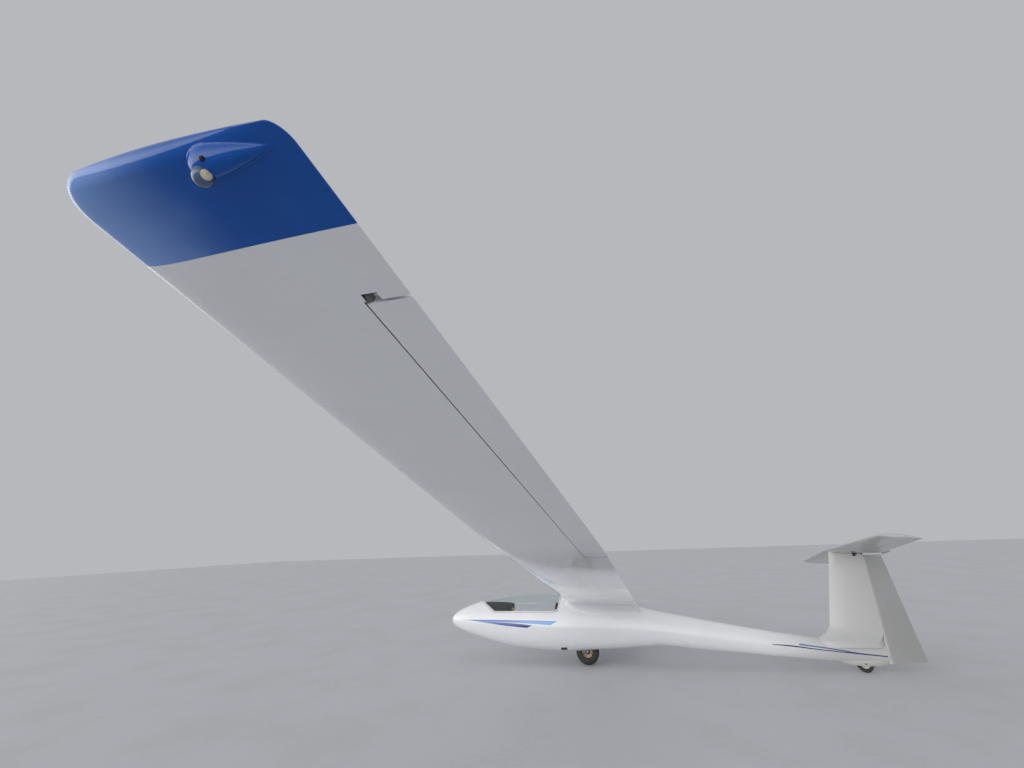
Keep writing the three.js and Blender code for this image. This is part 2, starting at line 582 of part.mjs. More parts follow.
// Canopy opening in side view, its edges moved inward by an inset
const CANOPY = { foot: 720, sill: 712, headHeight: 1100, rearFoot: 1782, rearSlope: 0.5, corner: 85 };
function canopyShape(inset) {
  const sill = CANOPY.sill + inset;
  const front = (z) => CANOPY.foot + (CANOPY.sill - z) + inset * Math.SQRT2;
  const rearInset = inset * Math.hypot(1, CANOPY.rearSlope);
  const rear = (z) => CANOPY.rearFoot + (z - CANOPY.sill) * CANOPY.rearSlope - rearInset;
  const shape = new THREE.Shape();
  shape.moveTo(front(CANOPY.headHeight), CANOPY.headHeight);
  shape.lineTo(front(sill), sill);
  shape.lineTo(rear(sill) - CANOPY.corner, sill);
  shape.quadraticCurveTo(rear(sill), sill, rear(sill + CANOPY.corner), sill + CANOPY.corner);
  shape.lineTo(rear(CANOPY.headHeight), CANOPY.headHeight);
  return shape;
}
const canopyPrism = (inset) => plate(canopyShape(inset), -400, 400, 6);
const FRAME = { width: 38, wall: 16 };
const GLASS_WALL = 6;
const cockpitSkin = (inset) => body(430, 1940, inset);
const hollow = body(300, 1900, WALL);
const hookSlot = block(1846, 1944, -22, 22, 0, 250);

// The canopy turns on two knuckles along the right sill
const HINGE_Y = skinHalf(1390, CANOPY.sill) + 11;
const HINGE_Z = CANOPY.sill;
const KNUCKLES = [1130, 1610];
// A knuckle is a barrel of some length with a leaf to the skin, between two heights from its axis
const knuckle = (x, half, low, high) => union(
  rodX(8, x - half, x + half, HINGE_Y, HINGE_Z),
  block(x - half, x + half, HINGE_Y - 30, HINGE_Y, HINGE_Z + low, HINGE_Z + high));
const fixedKnuckle = (x) => knuckle(x, 22, -12, -4);
const movingKnuckle = (x) => union(...[-35, 35].map((offset) => knuckle(x + offset, 12.5, 3, 9)));

const frontBody = body(0, FRONT_END).subtract(hollow).subtract(canopyPrism(-GAP)).subtract(hookSlot);
const knuckleSides = union(...KNUCKLES.map(fixedKnuckle)).subtract(hollow);
const fuselageFront = frontBody.add(knuckleSides);
const canopyBand = cockpitSkin(0).subtract(cockpitSkin(FRAME.wall)).intersect(canopyPrism(0));
const canopyFrame = canopyBand.subtract(canopyPrism(FRAME.width))
  .add(union(...KNUCKLES.map(movingKnuckle)).subtract(cockpitSkin(FRAME.wall)));
const canopyGlass = cockpitSkin(0).subtract(cockpitSkin(GLASS_WALL)).intersect(canopyPrism(FRAME.width + SEAM));

// Wing roots grow out of the body's sides in a hollow round, deep below the wing and shallow above
const ROOT_ROUND = { below: 120, belowEdge: 50, deepFrom: 0.3, above: 14, ahead: 34, foot: 680 };
const ROOT_TURNS = [0, 0.3, 0.55, 0.75, 0.9, 1]; // of the quarter turn from the wing to the body's side
const ROOT_MIDDLE = -10; // the two roots meet inside the body, past its middle
function rootDepth(s) {
  const share = Math.min(1, s / ROOT_ROUND.deepFrom) ** 0.7;
  return lerp(ROOT_ROUND.belowEdge, ROOT_ROUND.below, share);
}
function rootRing(turn, middle) {
  const [into, growth] = [Math.sin((turn * Math.PI) / 2), 1 - Math.cos((turn * Math.PI) / 2)];
  const sectionAt = (s) => {
    const side = skinHalf(WING[0].edge + s * WING[0].chord, ROOT_ROUND.foot);
    return wingSection(middle ?? lerp(ROOT_Y - SEAM, side, into));
  };
  const upper = CHORDWISE.map((s) => facePoint(sectionAt(s), s, 1, growth * ROOT_ROUND.above));
  const lower = CHORDWISE.map((s) => facePoint(sectionAt(s), s, -1, growth * rootDepth(s))).reverse();
  const front = sectionAt(0);
  const nose = front.edge.clone().addScaledVector(front.along, -growth * ROOT_ROUND.ahead);
  const tail = upper[0].clone().add(lower.at(-1)).multiplyScalar(0.5);
  return [tail, ...upper, nose, ...lower];
}
const wingRoot = loft([rootRing(1, ROOT_MIDDLE), ...ROOT_TURNS.toReversed().map((turn) => rootRing(turn))]);
const rootPair = bothSides(wingRoot).intersect(block(FRONT_END + SEAM, CENTRE_END, -500, 500, 0, 1500));
const fuselageCentre = union(body(FRONT_END + SEAM, CENTRE_END), rootPair).subtract(mainWell);
const tailBoom = union(body(CENTRE_END + SEAM, BODY_END), tailFairing).subtract(tailWell).subtract(rudderCove);

// Cockpit
const inside = body(480, 1899, WALL + SEAM); // the room inside the shell, less a seam
const SEAT = outline([
  [900, 362], [1010, 352], [1230, 330], [1420, 330], [1560, 400], [1760, 700],
  [1735, 715], [1530, 425], [1405, 356], [1235, 356], [1015, 378], [905, 388],
]);
const seatPan = plate(SEAT, -220, 220).intersect(inside);
const headrest = union(
  plate(outline([[1772, 742], [1800, 735], [1832, 850], [1800, 856]]), -110, 110),
  block(1815, 1900 - SEAM, -25, 25, 790, 815));
const POD = { back: 1046, half: 150 };
const podOutline = outline([
  [745, 690], [790, 600], [850, 585], [POD.back - 20, 735], [POD.back, 850],
  [900, 862], [620, 866], [610, 850], [690, 760],
]);
const underCanopy = body(480, 1899, FRAME.wall + GAP + 4);
const instrumentPod = union(plate(podOutline, -POD.half, POD.half), block(800, 850, -45, 45, 250, 600))
  .intersect(inside).intersect(underCanopy);
const PANEL = { front: POD.back + SEAM, thick: 4, low: 742, high: 846, half: 146 };
const DIALS = [[-95, 806, 30], [0, 806, 34], [95, 806, 30], [-45, 762, 15], [45, 762, 15]];
const panelBack = PANEL.front + PANEL.thick;
const instrumentPanel = union(
  block(PANEL.front, panelBack, -PANEL.half, PANEL.half, PANEL.low, PANEL.high),
  ...DIALS.map(([y, z, radius]) => rodX(radius, PANEL.front, panelBack + 7, y, z, 24)));
const releaseKnob = union(
  rodX(4, panelBack + SEAM, 1082, -120, 758, 12), at(new THREE.SphereGeometry(15, 12, 8), 1088, -120, 758));
const stick = union(bar(10, [vec(1180, 0, 346), vec(1176, 0, 500), vec(1150, 0, 600)]),
  bar(16, [vec(1151, 0, 592), vec(1144, 0, 640), vec(1132, 0, 700)])).subtract(seatPan.translate([0, 0, SEAM]));
const pedalBar = rodY(9, -135, 135, 690, 420);
const pedals = union(pedalBar, block(680, 700, -20, 20, 250, 420), bothSides(union(
  block(556, 566, 55, 130, 470, 600), bar(7, [vec(561, 92, 480), vec(620, 92, 445), vec(690, 92, 420)]))))
  .intersect(inside);
const LEVER = { y: -258, z: 612 };
const leverBracket = (x) => block(x, x + 12, -330, LEVER.y, LEVER.z - 9, LEVER.z + 9).intersect(inside);
const leverGrip = union(
  block(1074, 1086, LEVER.y - 6, LEVER.y + 6, LEVER.z, LEVER.z + 34),
  rodX(13, 1050, 1110, LEVER.y, LEVER.z + 40, 16));
const brakeLever = union(
  rodX(7, 1000, 1300, LEVER.y, LEVER.z), leverBracket(1000), leverBracket(1288), leverGrip);
// Shoulder straps lie on the seat's back and end at the lap strap, all just clear of the seat
const shoulder = plate(outline([
  [1432, 371.6], [1530, 425.6], [1733, 713.5], [1729, 717.2], [1526, 429.6], [1430, 375.8],
]), 60, 105);
const lap = plate(outline([[1430, 370.5], [1474, 394.8], [1472, 398.8], [1428, 374.5]]), -150, 150);
const buckle = plate(outline([[1434, 373], [1470, 393], [1462, 408], [1426, 388]]), -20, 20);
const harness = union(bothSides(shoulder), lap, buckle);

// Tow hook, held in its slot under the cockpit's rear
const towHook = union(block(1850, 1940, -14, 14, 184, 249.7), rodY(8, -19, 19, 1880, 198));

// Fittings that hold the tailplane on the fin
const tailPin = rodY(TAIL_PIN.radius, -36, 36, TAIL_PIN.x, TAIL_PIN.z, 16);

// The stored part: aircraft rolled onto its right tip, then set over the origin
const glider = new THREE.Group();
const aircraft = new THREE.Group();
aircraft.rotation.x = -ROLL;
glider.add(aircraft);
function piece(name, made, material) {
  const mesh = new THREE.Mesh(geometryOf(made), material);
  mesh.name = name;
  aircraft.add(mesh);
}

piece('fuselage_front', fuselageFront, GELCOAT);
piece('fuselage_centre', fuselageCentre, GELCOAT);
piece('tail_boom', tailBoom, GELCOAT);
piece('fin', fin, GELCOAT);
for (const [side, placed] of [['left', mirrored], ['right', (made) => made]]) {
  piece(`wing_${side}`, placed(wing), GELCOAT);
  piece(`wing_tip_${side}`, placed(wingTip), BLUE);
  piece(`tip_skid_${side}`, placed(tipSkid), BLUE);
  piece(`aileron_${side}`, placed(aileron), GELCOAT);
  piece(`airbrake_${side}`, placed(airbrake), GELCOAT);
}
piece('tailplane', tailplane, GELCOAT);
piece('elevator', elevator, GELCOAT);
piece('rudder', rudder, GELCOAT);
piece('canopy_frame', canopyFrame, GELCOAT);
piece('canopy_glass', canopyGlass, CLEAR);
piece('seat_pan', seatPan, LINING);
piece('headrest', headrest, BLACK);
piece('instrument_pod', instrumentPod, BLACK);
piece('instrument_panel', instrumentPanel, STEEL);
piece('control_stick', stick, BLACK);
piece('rudder_pedals', pedals, STEEL);
piece('airbrake_lever', brakeLever, BLUE);
piece('release_knob', releaseKnob, CREAM);
piece('harness', harness, WEBBING);
piece('main_tyre', mainTyre, RUBBER);
piece('main_rim', mainRim, CREAM);
piece('main_axle', mainAxle, STEEL);
piece('main_fork', mainFork, STEEL);
piece('tow_hook', towHook, STEEL);
piece('tail_tyre', tailTyre, RUBBER);
piece('tail_hub', tailHub, SKID);
piece('tail_axle', tailAxle, STEEL);
piece('tailplane_pin', tailPin, STEEL);

glider.updateMatrixWorld(true);
const box = new THREE.Box3().setFromObject(glider, true);
const middle = box.getCenter(vec(0, 0, 0));
aircraft.position.set(-middle.x, -middle.y, -box.min.z);
glider.updateMatrixWorld(true);

// The lines that the moving pieces turn or slide on, kept with the model in its stored frame
const stored = (point) => point.clone().applyMatrix4(aircraft.matrixWorld);
const flipped = (point) => vec(point.x, -point.y, point.z);
const brakeUp = vec(0, -Math.sin(brakeSlope), Math.cos(brakeSlope)).add(brakeInner);
const lines = {
  main_wheel: [vec(MAIN_WHEEL.x, 0, mainZ), vec(MAIN_WHEEL.x, 1, mainZ)],
  tail_wheel: [vec(TAIL_WHEEL.x, 0, tailZ), vec(TAIL_WHEEL.x, 1, tailZ)],
  rudder: [rudderHinge.a, rudderHinge.b],
  elevator: [elevatorHinge.a, elevatorHinge.b],
  aileron_right: [aileronHinge.a, aileronHinge.b],
  aileron_left: [flipped(aileronHinge.a), flipped(aileronHinge.b)],
  airbrake_right: [brakeInner, brakeUp],
  airbrake_left: [flipped(brakeInner), flipped(brakeUp)],
  canopy: [vec(KNUCKLES[1], HINGE_Y, HINGE_Z), vec(KNUCKLES[0], HINGE_Y, HINGE_Z)],
};
glider.userData.lines = Object.fromEntries(
  Object.entries(lines).map(([name, ends]) => [name, ends.map((point) => stored(point).toArray())]));

export default glider;
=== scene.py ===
# %% [markdown]
# A club sailplane standing on its two wheels and leaning on its right wing tip. This notebook loads the
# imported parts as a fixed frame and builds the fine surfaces, finishes and light around them. Everything
# is in metres, and each piece rides on the part that carries it on the real aircraft.

import json
import math

import bmesh
import bpy
import numpy as np
from mathutils import Matrix, Vector


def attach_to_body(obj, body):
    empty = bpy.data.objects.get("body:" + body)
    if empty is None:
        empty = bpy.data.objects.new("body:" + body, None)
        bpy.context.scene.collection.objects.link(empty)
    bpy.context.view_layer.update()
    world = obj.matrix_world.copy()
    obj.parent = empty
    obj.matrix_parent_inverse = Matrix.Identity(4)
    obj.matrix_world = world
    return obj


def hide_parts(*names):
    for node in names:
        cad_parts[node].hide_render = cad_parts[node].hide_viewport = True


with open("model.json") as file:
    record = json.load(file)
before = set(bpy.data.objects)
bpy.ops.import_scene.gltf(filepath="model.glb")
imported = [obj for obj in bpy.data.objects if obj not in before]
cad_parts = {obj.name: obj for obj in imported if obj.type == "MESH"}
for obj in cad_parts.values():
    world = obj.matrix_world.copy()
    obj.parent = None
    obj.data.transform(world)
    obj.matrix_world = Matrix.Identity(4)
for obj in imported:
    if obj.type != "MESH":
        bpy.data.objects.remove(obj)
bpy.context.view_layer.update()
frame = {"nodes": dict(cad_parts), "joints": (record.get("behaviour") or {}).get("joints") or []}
nodes = frame["nodes"]
joints = {joint["name"]: joint for joint in frame["joints"]}
scene = bpy.context.scene

# %% [markdown]
# The aircraft leans to its right, but its shapes are easiest to write upright: x runs aft from the
# nose tip, y to the right wing, z up from the line under both wheels. The main wheel's axle gives the
# turn and the place that carry that upright frame to the stored one.

# %% Upright frame
MAIN_WHEEL = Vector((2.254, 0, 0.175))
TAIL_WHEEL_X = 5.953
axle = joints["main_wheel_spin"]
side_axis, long_axis = Vector(axle["axis"]), Vector((1, 0, 0))
TURN = np.array([long_axis, side_axis, long_axis.cross(side_axis)]).T
ORIGIN = np.array(axle["pos_m"]) - TURN @ np.array(MAIN_WHEEL)
ROLL = math.atan2(-side_axis.z, side_axis.y)


def placed(points):
    return np.asarray(points, float) @ TURN.T + ORIGIN


def upright(point):
    return TURN.T @ (np.array(point) - ORIGIN)


print("rolled", round(math.degrees(ROLL), 2), "degrees, origin", ORIGIN.round(3))

# %% [markdown]
# The camera comes first, because every later choice is judged through it. The photograph was taken
# close to the raised wing tip with a very wide lens, tilted up and turned a little.

# %% Camera
CAMERA_PLACE = (3.014, -7.550, 1.803)  # from the nose tip, the wheel line and the floor
YAW, PITCH, TWIST_ANGLE = math.radians(-13.4), math.radians(20.637), math.radians(-2.156)
FOCAL_PIXELS, PICTURE_WIDTH, SENSOR = 418.765, 1024, 36.0

forward = Vector((math.sin(YAW) * math.cos(PITCH), math.cos(YAW) * math.cos(PITCH), math.sin(PITCH)))
level = Vector((math.cos(YAW), -math.sin(YAW), 0))
rising = level.cross(forward)
right = level * math.cos(TWIST_ANGLE) + rising * math.sin(TWIST_ANGLE)
up = rising * math.cos(TWIST_ANGLE) - level * math.sin(TWIST_ANGLE)
camera = bpy.data.objects.new("camera", bpy.data.cameras.new("camera"))
camera.data.lens = SENSOR * FOCAL_PIXELS / PICTURE_WIDTH
camera.data.sensor_width = SENSOR
camera.data.clip_start = 0.05
camera.matrix_world = Matrix.Translation(Vector(ORIGIN) + Vector(CAMERA_PLACE)) @ Matrix(
    (right, up, -forward)).transposed().to_4x4()
scene.collection.objects.link(camera)
scene.camera = camera
print("lens", round(camera.data.lens, 2), "mm")

# %% [markdown]
# Meshes are lofted: a row of closed rings with equal numbers of points is joined by strips of
# four-sided faces. Each ring is symmetrical, so its ends close with plain strips too. A loft keeps the
# faces in tidy rows, and glossy paint shows every face that is out of line.

# %% Mesh helpers
TINY = 1e-5  # the radius where a lathed shape closes on its axis
BOX_FACES = [(0, 1, 3, 2), (4, 6, 7, 5), (0, 4, 5, 1), (2, 3, 7, 6), (0, 2, 6, 4), (1, 5, 7, 3)]
SIDES = {"left": -1, "right": 1}


def vec(x, y, z):
    return np.array([x, y, z], float)


def mix(a, b, t):
    return a + (b - a) * t


def unit(vector):
    return vector / np.linalg.norm(vector)


def circle(sides, start=0.0):
    return np.arange(sides) * 2 * math.pi / sides + start


def new_object(name, mesh):
    made = bpy.data.objects.new(name, mesh)
    scene.collection.objects.link(made)
    return made


def tidy_mesh(mesh, merge=1e-6):
    work = bmesh.new()
    work.from_mesh(mesh)
    bmesh.ops.remove_doubles(work, verts=work.verts, dist=merge)
    bmesh.ops.dissolve_degenerate(work, edges=work.edges, dist=merge)
    bmesh.ops.recalc_face_normals(work, faces=work.faces)
    work.to_mesh(mesh)
    work.free()


def solid(name, points, faces, merge=1e-6):
    mesh = bpy.data.meshes.new(name)
    mesh.from_pydata(placed(points).tolist(), [], faces)
    tidy_mesh(mesh, merge)
    return new_object(name, mesh)


def ring_faces(rows, sides, closed=True):
    """Four-sided faces between neighbouring rings; a closed row joins its last ring to its first."""
    faces = []
    for i in range(rows if closed else rows - 1):
        here, after = i * sides, (i + 1) % rows * sides
        faces += [(here + k, here + (k + 1) % sides, after + (k + 1) % sides, after + k)
                  for k in range(sides)]
    return faces


def loft(name, rings, merge=1e-6):
    rings = np.array(rings)
    count, n = rings.shape[:2]
    faces = ring_faces(count, n, False)
    for base in (0, (count - 1) * n):
        for k in range(n // 2):
            quad = [base + j for j in (k, k + 1, (n - k - 1) % n, (n - k) % n)]
            faces.append(tuple(dict.fromkeys(quad)))
    return solid(name, rings.reshape(-1, 3), faces, merge)


def turned(name, profile, centre, axis="y", sides=96):
    """A lathe: profile points are (radius, along) and close on themselves."""
    points = []
    for radius, along in profile:
        for angle in circle(sides):
            ring = (radius * math.cos(angle), radius * math.sin(angle))
            points.append({"y": (ring[0], along, ring[1]), "x": (along, *ring), "z": (*ring, along)}[axis])
    return solid(name, np.array(points) + np.array(centre), ring_faces(len(profile), sides))


def rod(radius, half):
    return [(radius, -half), (radius, half), (TINY, half), (TINY, -half)]


def block(name, x0, x1, y0, y1, z0, z1):
    return solid(name, [(x, y, z) for x in (x0, x1) for y in (y0, y1) for z in (z0, z1)], BOX_FACES)


def slab(name, near, far):
    """A solid between two outlines with equal numbers of points."""
    n = len(near)
    return solid(name, [*near, *far],
                 [tuple(range(n)), tuple(range(2 * n - 1, n - 1, -1)), *ring_faces(2, n, False)])


def prism(name, outline, y0, y1):
    """An outline in side view, (x, z), as wide as y0 to y1."""
    return slab(name, *([(x, y, z) for x, z in outline] for y in (y0, y1)))


def plain_mesh(made):
    """Applies what the modifiers do, and takes them off."""
    graph = bpy.context.evaluated_depsgraph_get()
    mesh = bpy.data.meshes.new_from_object(made.evaluated_get(graph))
    made.modifiers.clear()
    made.data = mesh
    return made


def carve(made, tools, operation="DIFFERENCE"):
    for tool in tools:
        modifier = made.modifiers.new("carve", "BOOLEAN")
        modifier.operation, modifier.solver, modifier.object = operation, "MANIFOLD", tool
    plain_mesh(made)
    for tool in tools:
        bpy.data.objects.remove(tool)
    made.data.materials.clear()
    tidy_mesh(made.data, 2e-6)
    return made


def mirrored(points):
    return np.asarray(points) * (1, -1, 1)


def on_side(side, points):
    """Shapes are written for the right side; the left one is their mirror image."""
    return mirrored(points) if side == "left" else points


def smooth(made, angle=32):
    made.data.shade_smooth()
    made.data.set_sharp_from_angle(angle=math.radians(angle))
    return made


def bevelled(made, width, segments, angle):
    bevel = made.modifiers.new("bevel", "BEVEL")
    bevel.width, bevel.segments = width, segments
    bevel.limit_method, bevel.angle_limit = "ANGLE", math.radians(angle)
    return bevel


def softened(made, width, segments=3, angle=30, crease=45):
    bevelled(made, width, segments, angle)
    return smooth(plain_mesh(made), crease)


def joined(name, pieces):
    work = bmesh.new()
    for piece in pieces:
        work.from_mesh(piece.data)
        bpy.data.objects.remove(piece)
    mesh = bpy.data.meshes.new(name)
    work.to_mesh(mesh)
    work.free()
    return new_object(name, mesh)


print("helpers ready")

# %% [markdown]
# The fuselage is a row of superellipses. Five columns give its top, bottom, half width and widest
# height along the length, and a smooth curve runs through each column.

# %% Fuselage curves
SEAM, GAP = 0.0003, 0.005
BODY = np.array([
    # x, top, bottom, half width, height of the widest line
    [0, 620, 568, 30, 596], [25, 668, 530, 68, 598], [110, 733, 480, 122, 598], [330, 823, 398, 205, 592],
    [640, 908, 312, 268, 584], [1000, 966, 234, 305, 572], [1390, 1000, 190, 322, 566],
    [1780, 992, 171, 322, 564], [2100, 984, 178, 305, 560], [2400, 962, 198, 272, 556],
    [2750, 880, 222, 232, 545], [3100, 792, 250, 202, 520], [3400, 724, 266, 182, 490],
    [3850, 645, 232, 156, 435], [4400, 550, 197, 130, 372], [5000, 458, 155, 104, 305],
    [5300, 420, 135, 91, 277], [5600, 385, 118, 78, 250], [5950, 350, 104, 62, 226],
    [6290, 322, 96, 44, 208]]) / 1000
BODY_POWER = 2.25
BODY_SIDES = 96
NOSE_BULGE = 0.0075  # how far the rounded nose stands ahead of the first section
NOSE_END, NEAR_END = 0.11, 0.1  # the stations are close together ahead of these
NEAR = (0.003, 0.007, 0.012, 0.018, 0.025, 0.034, 0.045, 0.058, 0.073, 0.09)


def glide(start, end, leave, arrive, t):
    """A smooth curve from start to end that leaves and arrives at given speeds."""
    return (start * (2 * t**3 - 3 * t**2 + 1) + leave * (t**3 - 2 * t**2 + t)
            + end * (3 * t**2 - 2 * t**3) + arrive * (t**3 - t**2))


def through(column):
    xs, ys = BODY[:, 0], BODY[:, column]
    before, after = np.maximum(np.arange(len(xs)) - 1, 0), np.minimum(np.arange(len(xs)) + 1, len(xs) - 1)
    slopes = (ys[after] - ys[before]) / (xs[after] - xs[before])

    def value(x):
        i = int(np.clip(np.searchsorted(xs, x, side="right") - 1, 0, len(xs) - 2))
        step = xs[i + 1] - xs[i]
        return glide(ys[i], ys[i + 1], slopes[i] * step, slopes[i + 1] * step, (x - xs[i]) / step)
    return value


body_top, body_bottom, body_half, body_wide = (through(column) for column in (1, 2, 3, 4))


def skin_half(x, z):
    """The half width of the skin at a place along it and a height."""
    wide = body_wide(x)
    limit = body_top(x) if z > wide else body_bottom(x)
    rise = min(1.0, abs((z - wide) / (limit - wide)))
    return body_half(x) * (1 - rise**BODY_POWER) ** (1 / BODY_POWER)


def roof_height(x, y, inset=0.0):
    """The height of the skin's upper half at a place along it and off its middle."""
    share = np.minimum(1.0, np.abs(y) / (body_half(x) - inset))
    return body_wide(x) + (body_top(x) - inset - body_wide(x)) * (1 - share**BODY_POWER) ** (1 / BODY_POWER)


def squarish(value, power):
    return np.sign(value) * np.abs(value) ** power


def squarish_ring(count, power):
    angles = circle(count, -math.pi / 2)
    return squarish(np.cos(angles), 2 / power), squarish(np.sin(angles), 2 / power)


def body_ring(x, inset=0.0, scale=1.0, ahead=0.0):
    top, bottom, half, wide = body_top(x) - inset, body_bottom(x) + inset, body_half(x) - inset, body_wide(x)
    sides, rises = squarish_ring(BODY_SIDES, BODY_POWER)
    heights = wide + scale * rises * np.where(rises > 0, top - wide, wide - bottom)
    return np.stack([np.full(BODY_SIDES, x - ahead), scale * half * sides, heights], axis=1)


def body(name, x0, x1, inset=0.0, step=0.025):
    rings = []
    if x0 == 0:
        rings = [body_ring(0, inset, scale, NOSE_BULGE * (1 - scale**2))
                 for scale in (0.02, 0.15, 0.35, 0.55, 0.75, 0.9)]
    first = max(x0, NOSE_END)
    rest = np.linspace(first, x1, max(2, round((x1 - first) / step)))
    near = [x for x in NEAR if x > x0 + 0.001] if x0 < NEAR_END else []
    stations = [x0, *near, *rest[(0 if x0 < NEAR_END else 1):]]
    return loft(name, rings + [body_ring(x, inset) for x in stations], 1e-7)


print("fuselage is", round(float(BODY[-1, 0]), 2), "m to the rudder post, widest", body_half(1.6) * 2)

# %% [markdown]
# Every lifting surface is an aerofoil: a leading edge, a chord, a thickness and a mean line. One
# section function for each surface, and two kinds of ring, serve the wings, the tailplane and the fin:
# the carrier, which ends in a round hollow, and the flap, whose round nose turns inside that hollow.

# %% Aerofoils
FLAT = 0.0015  # half thickness of every trailing edge
CAMBER_AT = 0.45
FRONT_STEPS, AFT_STEPS, NOSE_STEPS = 44, 14, 20
BACK_TO_NOSE = [((1 - j / FRONT_STEPS) ** 2 + (1 - j / FRONT_STEPS)) / 2 for j in range(FRONT_STEPS)]


def lifting(edge, chord, ratio, angle=0.0, camber=0.0):
    """A section, with its nose raised by an angle."""
    return {"edge": edge, "chord": chord, "ratio": ratio, "camber": camber,
            "along": vec(math.cos(angle), 0, -math.sin(angle)),
            "normal": vec(math.sin(angle), 0, math.cos(angle))}


def half_thick(section, s):
    shape = 5 * (0.2969 * math.sqrt(s) - 0.126 * s - 0.3516 * s**2 + 0.2843 * s**3 - 0.1036 * s**4)
    return shape * section["ratio"] * section["chord"] + FLAT * s


def mean_line(s):
    if s < CAMBER_AT:
        return (2 * CAMBER_AT * s - s**2) / CAMBER_AT**2
    return (1 - 2 * CAMBER_AT + 2 * CAMBER_AT * s - s**2) / (1 - CAMBER_AT) ** 2


def face_point(section, s, side):
    lift = section["camber"] * section["chord"] * mean_line(s) + side * half_thick(section, s)
    return section["edge"] + section["along"] * s * section["chord"] + section["normal"] * lift


def foil_ring(section):
    upper, lower = ([face_point(section, s, side) for s in BACK_TO_NOSE] for side in (1, -1))
    return [(upper[0] + lower[0]) / 2, *upper, section["edge"], *lower[::-1]]


def hinge_line(surface, low, high, a, b):
    return {"surface": surface, "span": (low, high), "a": a, "b": b}


def hinge_at(hinge, t):
    """The hinge's place at a station, the section there, its share of the chord and the nose's radius."""
    low, high = hinge["span"]
    centre = mix(hinge["a"], hinge["b"], (t - low) / (high - low))
    section = hinge["surface"](t)
    s = float((centre - section["edge"]) @ section["along"]) / section["chord"]
    return centre, section, s, half_thick(section, s)


def arc_about(centre, section, reach, angles):
    return [centre + reach * (math.cos(a) * section["along"] + math.sin(a) * section["normal"])
            for a in angles]


def lip_share(section, centre, reach, s_hinge, side):
    """How far back a face runs before it meets the hollow, found by halving."""
    low, high = s_hinge - 3 * reach / section["chord"], s_hinge
    for _ in range(40):
        s = (low + high) / 2
        if np.linalg.norm(face_point(section, s, side) - centre) > reach:
            low = s
        else:
            high = s
    return low


def carrier_ring(hinge, t, hollow=True, gap=0.004, shape=None):
    """The section ahead of a hinge, with the hollow for the nose, or whole with the same points."""
    centre, section, s_hinge, radius = hinge_at(hinge, t)
    section, reach = shape(t) if shape else section, radius + gap
    ends, fronts = {}, {}
    for side in (1, -1):
        lip = lip_share(section, centre, reach, s_hinge, side)
        offset = face_point(section, lip, side) - centre
        angle = math.atan2(offset @ section["normal"], offset @ section["along"]) % (2 * math.pi)
        ends[side] = arc_about(centre, section, reach, np.linspace(math.pi, angle, AFT_STEPS + 1)[:-1])
        if not hollow:
            shares = [mix(1, lip, j / (AFT_STEPS - 1)) for j in range(AFT_STEPS - 1)]
            ends[side] = [None, *[face_point(section, s, side) for s in shares]]
        fronts[side] = [face_point(section, lip * (1 - j / FRONT_STEPS) ** 1.7, side)
                        for j in range(FRONT_STEPS)]
    first = ends[1][0] if hollow else (ends[1][1] + ends[-1][1]) / 2
    return [first, *ends[1][1:], *fronts[1], section["edge"], *fronts[-1][::-1], *ends[-1][1:][::-1]]


def straight(station):
    return lambda point: station


def flap_ring(hinge, t_of):
    """The section behind a hinge. t_of(x) gives the station of each point, so an end can be slanted."""
    start = t_of(None)
    centre, section, _, radius = hinge_at(hinge, start)

    def surface(k, side):
        t = start
        for _ in range(4):
            _, here, s, _ = hinge_at(hinge, t)
            point = face_point(here, mix(s, 1, k), side)
            t = t_of(point)
        return point
    upper, lower = ([surface(1 - j / AFT_STEPS, side) for j in range(AFT_STEPS)] for side in (1, -1))
    nose = arc_about(centre, section, radius,
                    [math.pi / 2 + math.pi * i / NOSE_STEPS for i in range(NOSE_STEPS + 1)])
    return [(upper[0] + lower[0]) / 2, *upper, *nose, *lower[::-1]]


def corner_cut(inward, length, cut):
    """What a rounded corner takes from a section that lies some way in from the end."""
    into = max(0.0, 1 - inward / length)
    return cut * (1 - math.sqrt(1 - into**2))


def closing(inward, length, share):
    """How thin a section is near a rounded end, from 1 down."""
    return math.sqrt(1 - share * max(0.0, 1 - inward / length) ** 2)


def toward_end(end, reach, steps):
    return [end - reach * (1 - math.sin(math.pi / 2 * j / steps)) for j in range(steps + 1)]


print("aerofoils ready")

# %% Wing sections
WING = [
    {"y": 0.0, "edge": 2.003, "chord": 1.104, "ratio": 0.158},
    {"y": 4.5, "edge": 2.041, "chord": 0.816, "ratio": 0.15},
    {"y": 7.5, "edge": 2.129, "chord": 0.476, "ratio": 0.126},
]
DIHEDRAL = math.radians(2.93)
WING_HEIGHT, WING_CAMBER = 0.866, 0.034
ROOT_ANGLE, TWIST = math.radians(4.9), math.radians(-1.9)
ROOT_Y, BORDER_Y, TIP_Y = 0.390, 7.316, 7.500
AILERON_FROM, AILERON_TO, AILERON_FRACTION, END_GAP, HINGE_GAP = 4.200, 7.124, 0.8, 0.008, 0.0022
INNER_END, OUTER_END = AILERON_FROM - END_GAP, AILERON_TO + END_GAP


def wing_section(y):
    a, b = (WING[0], WING[1]) if y < WING[1]["y"] else (WING[1], WING[2])
    t = (y - a["y"]) / (b["y"] - a["y"])
    edge, chord, ratio = (mix(a[key], b[key], t) for key in ("edge", "chord", "ratio"))
    place = vec(edge, y, WING_HEIGHT + y * math.tan(DIHEDRAL))
    return lifting(place, chord, ratio, ROOT_ANGLE + TWIST * y / TIP_Y, WING_CAMBER)


def aileron_pivot(y):
    return (face_point(wing_section(y), AILERON_FRACTION, 1)
            + face_point(wing_section(y), AILERON_FRACTION, -1)) / 2


